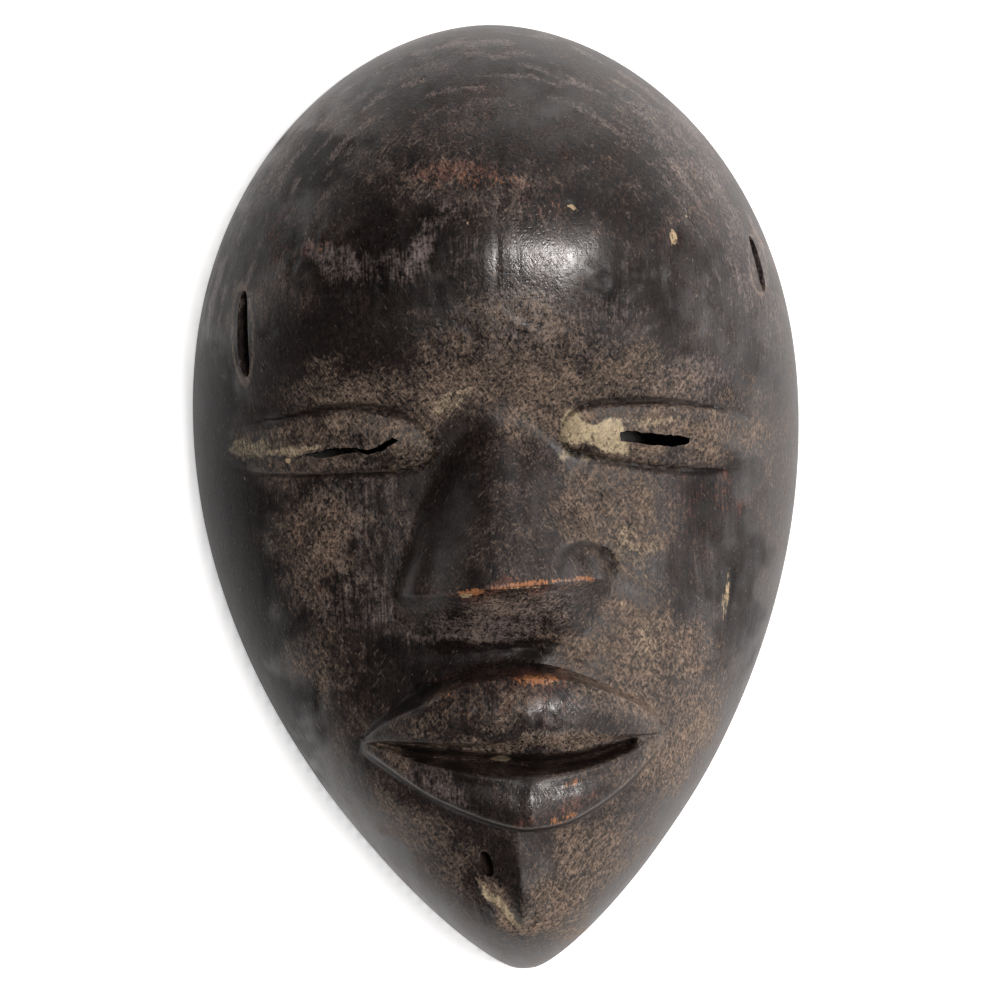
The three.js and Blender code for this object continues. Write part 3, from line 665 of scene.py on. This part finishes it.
# Soot and painted shade: smoked black patina, and also shade painted on the left rim and the side turned from
# the light, on the dark strip down the right side and in the nose's shadow over the upper lip.
SOOT_AND_SHADE = [
    (-21, 58, 24, 14, 8, 1.2), (38, 50, 22, 14, 0, 0.7), (-12, -39, 26, 8, 14, 0.9),
    (-14, 0, 9, 22, -16, 0.7), (-40, 38, 22, 12, 0, 0.7), (-14, -70, 18, 7, -20, 0.6),
    (-34, -28, 16, 14, 0, 0.5), (50, -14, 9, 22, 10, 0.4), (30, 66, 16, 7, 10, 0.5),
    (-50, 30, 14, 16, 0, 0.6), (-70, -6, 18, 66, 6, 1.4), (-58, 66, 12, 30, -34, 1.0),
    (-62, -46, 13, 34, 26, 1.2), (29, 45, 6, 2.2, 62, 1.0), (-4, 100, 36, 12, 0, 0.6),
    (-5, -37, 24, 4.6, 6, 1.3), (-19, -36, 13, 8, 10, 1.4), (-3, -90, 7, 11, 0, 0.6),
    (-8, -50, 14, 5, 16, 0.5), (-42, 84, 18, 11, -40, 1.1), (-18, -44, 14, 4, 28, 1.2),
    (60, 44, 12, 24, 0, 0.6), (57, -16, 11, 36, 5, 0.8), (58, 36, 12, 24, 0, 0.6),
    (20, 84, 30, 10, -10, 0.5),
]
# Grey bloom and painted sheen: rubbed grey patina, and also a painted highlight on the forehead, painted
# reflection along the rims and the crown, and painted light on the nose's underside.
GREY_AND_SHEEN = [
    (8, 56, 20, 16, 0, 0.35), (-17, 60, 5, 9, -8, 0.9), (-9, 68, 4, 9, 0, 0.45),
    (-27, 55, 5, 7, 20, 0.45), (26, 40, 14, 9, 0, 0.45), (0, 110, 30, 4, 0, 0.3), (8, 40, 12, 14, 0, 0.5),
    (0, -29.5, 23, 5, 3, 1.0), (2, -25, 22, 2, 3, 0.8), (-37, 56, 6, 6, 0, 0.9),
    (-18, -68, 11, 4, -20, 0.7), (46, 26, 14, 8, 0, 0.6), (-34, 0, 8, 16, 0, 0.5),
    (-34, -26, 14, 6, -8, 0.5), (62, 60, 7, 34, 14, 0.6), (46, 86, 8, 24, 42, 0.6),
    (-50, 84, 6, 30, -40, 0.55), (-14, 104, 10, 3, 12, 0.6), (34, 88, 3, 16, 60, 0.4),
    (7, 78, 9, 2, 8, 0.35),
]
POLISH = [
    (11.5, 57, 14, 13, 30, 1.15), (11.5, -52.5, 8, 4.5, 10, 0.9), (9, -71, 9, 6, 8, 0.9),
    (4, -91, 4, 8, 0, 0.7), (5, -6, 7, 16, 0, 0.3), (8, 64, 8, 13, 0, 1.1), (8, 44, 10, 10, 0, 0.5),
]
FINISHES = {
    "dust_and_light": DUST_AND_LIGHT, "clay": CLAY, "russet": RUSSET, "bare": BARE, "pale": PALE, "soot_and_shade": SOOT_AND_SHADE, "grey_and_sheen": GREY_AND_SHEEN,
    "polish": POLISH,
}


def strength(x, y, places, seed):
    """How strongly a finish covers each point: the strongest of its soft spots, their edges pushed about by
    noise."""
    wobble_x = 2.2 * ripple(x, y, 9, seed) + 0.8 * ripple(x, y, 3, seed + 1)
    wobble_y = 1.6 * ripple(x, y, 9, seed + 2) + 0.6 * ripple(x, y, 3, seed + 3)
    total = np.zeros_like(x)
    for *place, amount in places:
        small = min(1, place[3] / 5)
        total = np.maximum(total, amount * spot(x + wobble_x * small, y + wobble_y * small, place))
    return total


def beside(line, y, above, width):
    """1 on a soft ridge that runs a little above or below a line: a bell over the height between them."""
    return bell(y - line - above, width)


def highlit_worn_lines(x, y):
    """1 on the thin ridges that catch the hand, painted as pale highlights and wear: round the lower lip,
    along the right part of the upper lip's roof and the lids."""
    within = ease(0, 2, MOUTH_HALF + 1 - np.abs(x - MOUTH_X))
    base, roof = (curve(MOUTH_LINES[name], x) for name in ("base", "roof"))
    total = 0.8 * beside(base, y, above=-0.3, width=0.32) * within
    total += 0.6 * beside(roof, y, above=0.2, width=0.5) * within * ease(-12, 14, x)
    for (fade_from, fade_to), top, bottom in LIDS:
        shown = (1 - ease(fade_from, fade_to, x)) * (x > top[0][0]) * (x < top[-1][0])
        total += 0.7 * shown * beside(curve(top, x), y, above=0.9, width=0.45)
        total += 0.7 * shown * beside(curve(bottom, x), y, above=-0.1, width=0.45)
    return np.clip(total + slot_rings(x, y), 0, 1)


def slot_rings(x, y):
    """1 on the worn edge round each side slot: a narrow bell over the distance from an ellipse."""
    total = np.zeros_like(x)
    for sx, sy, length, width, _ in SIDE_SLOTS:
        ring = np.hypot((x - sx) / (width * 0.62), (y - sy) / (length * 0.56))
        total += bell(ring - 1, 0.14)
    return total


def grooves(x, y):
    """1 along the dark lines where soot has settled: round the lids, over the wing, in the scratches and
    the lips' foot."""
    total = np.zeros_like(x)
    for lid in LIDS:
        d, shown = lid_place(lid, x, y)
        total += shown * bell(d + 0.6, 0.6)
    total += wing_crease(x, y, 0.1)
    for stations, wide, _ in SCRATCHES:
        total += scratch(x, y, stations, 1.3 * wide)
    foot = beside(curve(MOUTH_LINES["base"], x), y, above=-1.3, width=0.8)
    total += 0.8 * foot * ease(0, 3, MOUTH_HALF - np.abs(x - MOUTH_X))
    return np.clip(total, 0, 1)


def crown_wisps_and_sheen(x, y):
    """Grey wisps that run along the crown's outline, grey patina streaks and painted reflection where the
    crown turns away: noise drawn out ten times along the turn about the brow."""
    turn = np.arctan2(y - WIDEST_Y, x - centre_line(y))
    out = np.hypot((x - centre_line(y)) / OUTER["half"], (y - WIDEST_Y) / (OUTER["top"] - WIDEST_Y))
    drawn = ripple(turn * 9, out * 90, 2.2, 71) + 0.5 * ripple(turn * 24, out * 90, 1.2, 72)
    return ease(-0.2, 1.5, drawn) * ease(0.62, 0.85, out) * ease(25, 55, y)


def paint(mesh):
    """Stores each finish on the mesh as an attribute, worked out from where each vertex lies on the front,
    in a hole or behind."""
    flat = np.empty(len(mesh.vertices) * 3)
    mesh.vertices.foreach_get("co", flat)
    x, y, z = (flat.reshape(-1, 3) / MM).T
    depth = skin(x, y) - z
    front_side = 1 - ease(1.2, 3.0, depth * fall(OUTER, x, y) ** 1.5)
    # Painted shade: the slits' walls, black from just below the front down into the holes.
    near_slit = np.maximum(spot(x, y, (-35, 12.4, 17, 5, 2)), spot(x, y, (38, 12.4, 12, 5, -5)))
    cut = ease(0.35, 1.1, depth) * np.minimum(1, 2 * near_slit)
    finishes = {"inside": 1 - front_side, "cut": cut}
    # Painted highlights and wear along thin ridges, and wear round the side slots.
    finishes["worn_and_highlit"] = np.maximum(highlit_worn_lines(x, y) * front_side, 0.8 * slot_rings(x, y) * ease(9, 3, depth))
    for seed, (name, places) in enumerate(FINISHES.items()):
        finishes[name] = strength(x, y, places, 10 * seed + 11) * front_side
    finishes["groove"] = grooves(x, y) * front_side
    # Grey streaks and painted reflection along the crown's outline.
    finishes["grey_and_sheen"] = np.maximum(finishes["grey_and_sheen"], 0.85 * crown_wisps_and_sheen(x, y) * front_side)
    for name, values in finishes.items():
        layer = mesh.attributes.new(name, "FLOAT", "POINT")
        layer.data.foreach_set("value", values.astype(np.float32))


def colour_of(name, description, code):
    """A colour property, given as sRGB hex and kept as linear light."""
    return bpy.props.FloatVectorProperty(
        name=name, description=description, subtype="COLOR", default=linear(code), min=0, max=1,
    )


class MaskSizes(bpy.types.PropertyGroup):
    """The sizes of the mask's fine relief."""

    tool_marks: bpy.props.FloatProperty(
        name="Tool marks", description="Height of the soft flats that the blade left", default=0.07 * MM,
        unit="LENGTH", precision=5,
    )
    slit_rags: bpy.props.FloatProperty(
        name="Slit rags", description="How far the slits' cut edges wander", default=0.16 * MM,
        unit="LENGTH", precision=5,
    )
    dust_height: bpy.props.FloatProperty(
        name="Dust height", description="Thickness of the caked dust", default=0.07 * MM,
        unit="LENGTH", precision=5,
    )
    grain_depth: bpy.props.FloatProperty(
        name="Grain depth", description="Depth of the open grain", default=0.10 * MM,
        unit="LENGTH", precision=5,
    )


class MaskColours(bpy.types.PropertyGroup):
    """The colours of the mask's finishes."""

    patina: colour_of("Patina", "Smoked and handled wood", "#201917")
    # Also the colour of painted shade: the side turned from the light and the nose's shadow over the upper
    # lip.
    soot_and_shade: colour_of("Soot", "The blackest smoked areas", "#120e0d")
    # Also the colour of painted sheen: the forehead's highlight and the reflection along the rims.
    grey_and_sheen: colour_of("Grey bloom", "Rubbed patina that has gone grey", "#4a4341")
    russet: colour_of("Russet", "Reddish wood where the patina is thin", "#452c25")
    bare: colour_of("Bare wood", "Wood laid bare on worn edges", "#93603c")
    pale: colour_of("Fresh nicks", "Pale wood inside recent chips", "#ab9576")
    # Also the colour of painted light: the nose's underside and the pale lines along thin ridges.
    dust_and_light: colour_of("Dust", "Pale clay dust held in the hollows", "#7a6a5c")
    clay: colour_of("Clay", "Caked clay, paler and yellower than the dust", "#aa9b80")
    fibre: colour_of("Fibre", "Rubbed fibres that catch the light", "#655b56")
    lining: colour_of("Lining", "Adzed wood inside the hollow", "#3d2c20")


def per_mm(size):
    """The scale of a noise whose features are about size millimetres."""
    return 1 / (size * MM)


def patinated_wood(colours, sizes):
    """Carved hardwood under a rubbed, smoked patina: a dark semi-gloss with a fine upright grain, clay dust
    caught in its hollows, thin reddish places, and bare wood on the edges that are touched most. Painted
    shade, painted highlights and painted sheen lie over it in places."""
    material = bpy.data.materials.new("patinated_carved_wood")
    material.use_nodes = True
    tree = material.node_tree
    tree.nodes.clear()
    place = add_node(tree, "ShaderNodeTexCoord").outputs["Object"]

    def op(operation, a, b=0.0, c=0.0):
        """One sum on two values or sockets, or on three for MULTIPLY_ADD."""
        inputs = {0: a, 1: b} if operation != "MULTIPLY_ADD" else {0: a, 1: b, 2: c}
        return add_node(tree, "ShaderNodeMath", inputs, operation=operation).outputs[0]

    def noise(size, stretch=1, turn=0, detail=3, rough=0.6):
        """Noise from -1 to 1 or so with features of size millimetres, drawn out along +Y and then
        turned."""
        vector = place
        if turn:
            slant = {"Vector": vector, "Rotation": (0, 0, math.radians(turn))}
            vector = add_node(tree, "ShaderNodeMapping", slant).outputs[0]
        drawn = {"Vector": vector, "Scale": (1, 1 / stretch, 1)}
        vector = add_node(tree, "ShaderNodeMapping", drawn).outputs[0]
        settings = {"Vector": vector, "Scale": per_mm(size), "Detail": detail, "Roughness": rough}
        value = add_node(tree, "ShaderNodeTexNoise", settings).outputs["Fac"]
        return op("MULTIPLY_ADD", value, 4, -2)

    def spread(value, low, high):
        """A smooth rise from 0 where the value is low to 1 where it is high."""
        settings = {"Value": value, "From Min": low, "From Max": high}
        return add_node(tree, "ShaderNodeMapRange", settings, interpolation_type="SMOOTHSTEP").outputs[0]

    def total(first, *shares):
        """The first value plus each later one times its share."""
        for value, share in shares:
            first = op("MULTIPLY_ADD", value, share, first)
        return first

    def blend(factor, a, b, kind="MIX"):
        """Colour a turned towards b, or multiplied by it, by the factor."""
        settings = {0: factor, 6: a, 7: b}
        return add_node(tree, "ShaderNodeMix", settings, data_type="RGBA", blend_type=kind).outputs[2]

    def tinted(colour, factor, low, high):
        """A colour multiplied by a tint that runs from low to high with the factor."""
        return blend(1.0, colour, blend(factor, (*low, 1), (*high, 1)), "MULTIPLY")

    layer = {
        name: add_node(tree, "ShaderNodeAttribute", attribute_name=name).outputs["Fac"]
        for name in [*FINISHES, "inside", "cut", "worn_and_highlit", "groove"]
    }
    # Real pores are about 0.2 mm wide and dust is finer still, which wouldn't show: the grain is drawn 0.5 mm
    # wide and 8 mm long, the specks, grit and pits 0.6 to 1 mm. Rubbed fibres cross the grain at two slants.
    grain = noise(0.5, stretch=16, detail=2)
    streak = noise(3.5, stretch=6, detail=4)
    speck = noise(1.05, stretch=1.4, detail=2, rough=0.75)
    grit = noise(0.62, stretch=1.2, detail=1)
    pits = spread(noise(0.9, stretch=1.2, detail=1), 0.25, 0.8)
    patch = noise(6, detail=5)
    blotch = noise(15, detail=4)
    fibre = op("MAXIMUM", *(noise(0.55, stretch=9, turn=slant, detail=2) for slant in (38, -32)))
    hatch = noise(0.5, stretch=14, turn=90, detail=2)

    mottle = total(0.0, (blotch, 0.24), (patch, 0.24), (speck, 0.13), (grit, 0.07))
    mottle = total(mottle, (fibre, 0.34), (grain, 0.08))
    dust_and_light = spread(total(layer["dust_and_light"], (mottle, 0.85), (pits, -0.35), (layer["soot_and_shade"], -0.35)), -0.05, 1.1)
    clay = spread(total(layer["clay"], (mottle, 0.45)), 0.2, 0.85)
    soot_and_shade = spread(total(layer["soot_and_shade"], (patch, 0.3), (streak, 0.2), (speck, 0.12)), 0.0, 1.2)
    grey_and_sheen = spread(total(layer["grey_and_sheen"], (patch, 0.20), (grain, 0.28), (hatch, 0.16), (speck, 0.14)), 0.15, 1.1)
    russet = spread(total(layer["russet"], (patch, 0.30), (grain, 0.25), (speck, 0.15)), 0.3, 1.1)
    bare = spread(total(layer["bare"], (speck, 0.20), (grain, 0.40)), 0.42, 0.85)
    pale = spread(total(layer["pale"], (speck, 0.18), (grain, 0.22)), 0.42, 0.8)

    shades = {name: (*getattr(colours, name), 1) for name in MaskColours.__annotations__}
    # Soot and painted shade darken the patina.
    base = blend(soot_and_shade, shades["patina"], shades["soot_and_shade"])
    # Grey bloom and painted sheen lighten the patina.
    base = blend(grey_and_sheen, base, shades["grey_and_sheen"])
    base = blend(russet, base, shades["russet"])
    tone = total(0.5, (blotch, 0.2), (patch, 0.2), (streak, 0.12), (grain, 0.2), (speck, 0.28), (grit, 0.2))
    tone = spread(total(tone, (pits, -0.25)), 0, 1)
    base = tinted(base, tone, (0.1, 0.09, 0.1), (2.3, 2.2, 2.14))
    # Sparse rubbed fibres lie over the dark wood all over the front.
    base = blend(op("MULTIPLY", spread(fibre, 0.6, 1.2), 0.8), base, shades["fibre"])
    # Painted highlights and wear: thin pale lines along the ridges, in the dust's colour.
    worn_and_highlit = spread(total(layer["worn_and_highlit"], (speck, 0.3)), 0.3, 1.1)
    base = blend(op("MULTIPLY", worn_and_highlit, 0.6), base, shades["dust_and_light"])
    grain_tone = spread(total(0.45, (grit, 0.3), (speck, 0.22), (fibre, 0.42), (hatch, 0.14)), 0, 1)
    # Dust and painted light pale the patina.
    powder = tinted(shades["dust_and_light"], grain_tone, (0.32, 0.3, 0.29), (1.55, 1.55, 1.56))
    base = blend(op("MULTIPLY", dust_and_light, 0.95), base, powder)
    caked = tinted(shades["clay"], grain_tone, (0.72, 0.7, 0.68), (1.25, 1.25, 1.25))
    base = blend(clay, base, caked)
    groove = spread(total(layer["groove"], (speck, 0.2)), 0.1, 0.9)
    base = blend(op("MULTIPLY", groove, 0.75), base, shades["soot_and_shade"])
    base = blend(bare, base, shades["bare"])
    base = blend(pale, base, shades["pale"])
    base = blend(op("MULTIPLY", pits, 0.6), base, shades["soot_and_shade"])
    base = blend(layer["inside"], base, blend(tone, shades["soot_and_shade"], shades["lining"]))
    # The slits' walls are painted nearly black as shade and have no sheen.
    dark = spread(layer["cut"], 0, 0.2)
    base = blend(dark, base, (0.002, 0.0018, 0.0016, 1))

    rough = total(0.43, (patch, 0.03), (dust_and_light, 0.32), (soot_and_shade, 0.06))
    rough = total(rough, (layer["polish"], -0.13), (layer["inside"], 0.3))
    # Heights in millimetres.
    depth, crust = sizes.grain_depth / MM, sizes.dust_height / MM
    height = total(0.0, (grain, 0.06 * depth), (hatch, 0.07 * depth), (speck, 0.08 * depth))
    height = total(height, (patch, 0.08 * depth), (dust_and_light, crust), (fibre, 0.08 * depth), (pits, -0.26 * depth))
    bump = add_node(tree, "ShaderNodeBump", {"Height": height, "Strength": 1.0, "Distance": MM})
    gloss = total(0.42, (dust_and_light, -0.3), (soot_and_shade, -0.3), (layer["polish"], 0.38), (layer["inside"], -0.2))
    gloss = op("MAXIMUM", total(gloss, (dark, -0.6)), 0.0)
    shader = add_node(tree, "ShaderNodeBsdfPrincipled", {
        "Base Color": base, "Roughness": rough, "Normal": bump.outputs[0], "Specular IOR Level": gloss,
    })
    # Rough wood loses most of its mirror-like sheen where it is seen edge on.
    edge = add_node(tree, "ShaderNodeLayerWeight", {"Blend": 0.5}).outputs["Facing"]
    matt = add_node(tree, "ShaderNodeBsdfDiffuse", {"Color": base, "Normal": bump.outputs[0]})
    share = op("MULTIPLY", spread(edge, 0.3, 0.95), 0.22)
    mixed = add_node(tree, "ShaderNodeMixShader", {0: share, 1: shader.outputs[0], 2: matt.outputs[0]})
    add_node(tree, "ShaderNodeOutputMaterial", {"Surface": mixed.outputs[0]})
    return material


def front_mesh(sizes):
    """The outer body: the skin and its fine wear, on a grid that is finest round the eyes, nose and
    mouth."""
    above = [crowded(BROW_Y, OUTER["top"], CROWN_ROWS)[:0:-1], *(even(*rows) for rows in FACE_ROWS)]
    below = crowded(MOUTH_BELOW, OUTER["bottom"], CHIN_ROWS)
    x, y = bent_rows((np.concatenate(above), below), columns(*SKIN_COLUMNS), MOUTH_ROWS)
    z = skin(x, y) + wear(x, y, sizes) * ease(0, WEAR_FADE, fall(OUTER, x, y))
    return grid_mesh(PIECE, x, y, z, 0)


def hollow_mesh():
    """The hollow's body, a little uneven as an adze leaves it, with a skirt that opens it below the rim."""
    crown, chin = HOLLOW_BREAKS
    rows = np.concatenate([
        crowded(crown, HOLLOW["top"], HOLLOW_ROWS[0])[:0:-1], even(crown, chin, HOLLOW_ROWS[1]),
        crowded(chin, HOLLOW["bottom"], HOLLOW_ROWS[2]),
    ])
    q = columns(*HOLLOW_COLUMNS)
    x = centre_line(rows)[:, None] + half_width(HOLLOW, rows)[:, None] * q[None, :]
    y = np.repeat(rows[:, None], len(q), axis=1)
    uneven = 1 + LINING_UNEVEN * ripple(x, y, LINING_BUMP, 9)
    return grid_mesh("hollow", x, y, front(HOLLOW, x, y) * fall(HOLLOW, x, y) * uneven, HOLLOW_SKIRT)


class MASK_OT_carve(bpy.types.Operator):
    """Carve the mask from one block and give it its patina"""

    bl_idname = "mask.carve"
    bl_label = "Carved mask"

    def execute(self, context):
        sizes = context.scene.mask_sizes
        piece = new_object(PIECE, front_mesh(sizes))
        cut_away(piece, new_object("hollow", hollow_mesh()))
        for points, faces in cutters(sizes.slit_rags / MM):
            mesh = bpy.data.meshes.new("cutter")
            mesh.from_pydata((points * MM).tolist(), [], faces)
            cut_away(piece, new_object("cutter", mesh))

        mesh = piece.data
        mesh.name = PIECE
        mesh.shade_smooth()
        mesh.set_sharp_from_angle(angle=math.radians(SHARP_ANGLE))
        paint(mesh)
        mesh.transform(Matrix.Translation((-MIDDLE_X * MM, 0, 0)))
        mesh.materials.clear()
        mesh.materials.append(patinated_wood(context.scene.mask_colours, sizes))
        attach(piece, "root")
        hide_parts("mask")
        return {"FINISHED"}


# Soft round lights, all as far from the mask: slant from upright and turn from +X in degrees, size, power.
LIGHT_AWAY = 1.5
LIGHTS = {
    "key": (18, 8, 0.42, 15.0),
    "high_key": (12, 70, 0.25, 1.8),
    "high_right": (42, 45, 0.6, 1.2),
    "low_right": (50, 315, 0.6, 2.4),
    "right_edge": (82, 0, 0.9, 15.0),
    "lower_edge": (80, 315, 0.9, 3.2),
    "top_edge": (82, 75, 0.9, 9.0),
}
WARM = (1.0, 0.955, 0.935)
DOME = 0.06
FLOOR_GLOW = 0.7
# The floor's gap under the rim, its fine grid's half size and lines, and its coarse border, in millimetres.
FLOOR_GAP, FLOOR_FINE, FLOOR_LINES, FLOOR_BORDER = 0.3, 200, 161, [1000, 4000]
# The camera looks straight down on the mask, which is turned a little in the picture.
CAMERA_HEIGHT, CAMERA_Y, CAMERA_TURN, LENS, SENSOR = 0.77, -0.0004, 2.0, 108.3, 36


def floor_mesh():
    """A pale card under the rim: a fine grid near the mask whose glow attribute rises from 0 under it to 1
    outside."""
    fine = np.linspace(-FLOOR_FINE, FLOOR_FINE, FLOOR_LINES)
    line = np.concatenate([-np.array(FLOOR_BORDER[::-1]), fine, FLOOR_BORDER])
    x, y = np.meshgrid(line, line, indexing="ij")
    n = len(line)
    index = np.arange(n * n).reshape(n, n)
    corners = [index[:-1, :-1], index[1:, :-1], index[1:, 1:], index[:-1, 1:]]
    faces = np.stack(corners, axis=-1).reshape(-1, 4)
    mesh = bpy.data.meshes.new("floor")
    points = np.stack([x, y, np.full_like(x, -FLOOR_GAP)], axis=-1).reshape(-1, 3) * MM
    mesh.from_pydata(points.tolist(), [], faces.tolist())
    aside = np.abs(x + MIDDLE_X - centre_line(y)) - half_width(OUTER, y)
    beyond = np.maximum(aside, np.abs(y) - OUTER["top"])
    layer = mesh.attributes.new("glow", "FLOAT", "POINT")
    layer.data.foreach_set("value", ease(-3, 2, beyond).reshape(-1).astype(np.float32))
    # White card lit from behind: to the eye an even white with a soft contact shadow along the rim.
    white = bpy.data.materials.new("backlit_white_card")
    white.use_nodes = True
    tree = white.node_tree
    card = tree.nodes["Principled BSDF"]
    card.inputs["Base Color"].default_value = (0.9, 0.9, 0.9, 1)
    card.inputs["Roughness"].default_value = 0.9
    card.inputs["Emission Color"].default_value = (1, 1, 1, 1)
    glow = add_node(tree, "ShaderNodeAttribute", attribute_name="glow").outputs["Fac"]
    lit = add_node(tree, "ShaderNodeMath", {0: glow, 1: FLOOR_GLOW}, operation="MULTIPLY").outputs[0]
    tree.links.new(lit, card.inputs["Emission Strength"])
    mesh.materials.append(white)
    return mesh


class MASK_OT_stage(bpy.types.Operator):
    """Set the pale floor, the soft lights and the camera straight above the mask"""

    bl_idname = "mask.stage"
    bl_label = "Floor, lights and camera"

    def execute(self, context):
        scene = context.scene
        scene.view_settings.view_transform = "Standard"
        new_object("floor", floor_mesh())
        world = bpy.data.worlds.new("studio")
        world.use_nodes = True
        world.node_tree.nodes["Background"].inputs["Color"].default_value = (*WARM, 1)
        world.node_tree.nodes["Background"].inputs["Strength"].default_value = DOME
        scene.world = world
        for name, (slant, turn, size, power) in LIGHTS.items():
            light = bpy.data.lights.new(name, "AREA")
            light.shape = "DISK"
            light.size = size
            light.energy = power
            light.color = WARM
            lamp = new_object(name, light)
            slant, turn = math.radians(slant), math.radians(turn)
            lamp.location = (
                LIGHT_AWAY * math.sin(slant) * math.cos(turn),
                LIGHT_AWAY * math.sin(slant) * math.sin(turn),
                LIGHT_AWAY * math.cos(slant),
            )
            lamp.rotation_euler = (-lamp.location).to_track_quat("-Z", "Y").to_euler()

        eye = bpy.data.cameras.new("camera")
        eye.sensor_fit = "HORIZONTAL"
        eye.sensor_width = SENSOR
        eye.lens = LENS
        camera = new_object("camera", eye)
        camera.location = (-MIDDLE_X * MM, CAMERA_Y, CAMERA_HEIGHT)
        camera.rotation_euler = (0, 0, -math.radians(CAMERA_TURN))
        scene.camera = camera
        return {"FINISHED"}


class MASK_PT_panel(bpy.types.Panel):
    """Lists the mask's operators, sizes and colours"""

    bl_label = "Carved Dan Mask"
    bl_idname = "MASK_PT_panel"
    bl_space_type = "VIEW_3D"
    bl_region_type = "UI"
    bl_category = "Mask"

    def draw(self, context):
        layout = self.layout
        for operator in (MASK_OT_carve, MASK_OT_stage):
            layout.operator(operator.bl_idname)
        for name in MaskColours.__annotations__:
            layout.prop(context.scene.mask_colours, name)
        for name in MaskSizes.__annotations__:
            layout.prop(context.scene.mask_sizes, name)


CLASSES = (MaskSizes, MaskColours, MASK_OT_carve, MASK_OT_stage, MASK_PT_panel)


def register():
    """Registers the classes and gives the scene its sizes and colours."""
    for item in CLASSES:
        bpy.utils.register_class(item)
    bpy.types.Scene.mask_sizes = bpy.props.PointerProperty(type=MaskSizes)
    bpy.types.Scene.mask_colours = bpy.props.PointerProperty(type=MaskColours)


def unregister():
    """Takes the sizes, the colours and the classes away again."""
    del bpy.types.Scene.mask_colours
    del bpy.types.Scene.mask_sizes
    for item in reversed(CLASSES):
        bpy.utils.unregister_class(item)


def main():
    """Builds the mask and its stage."""
    register()
    bpy.ops.mask.carve()
    bpy.ops.mask.stage()


if __name__ == "__main__":
    main()
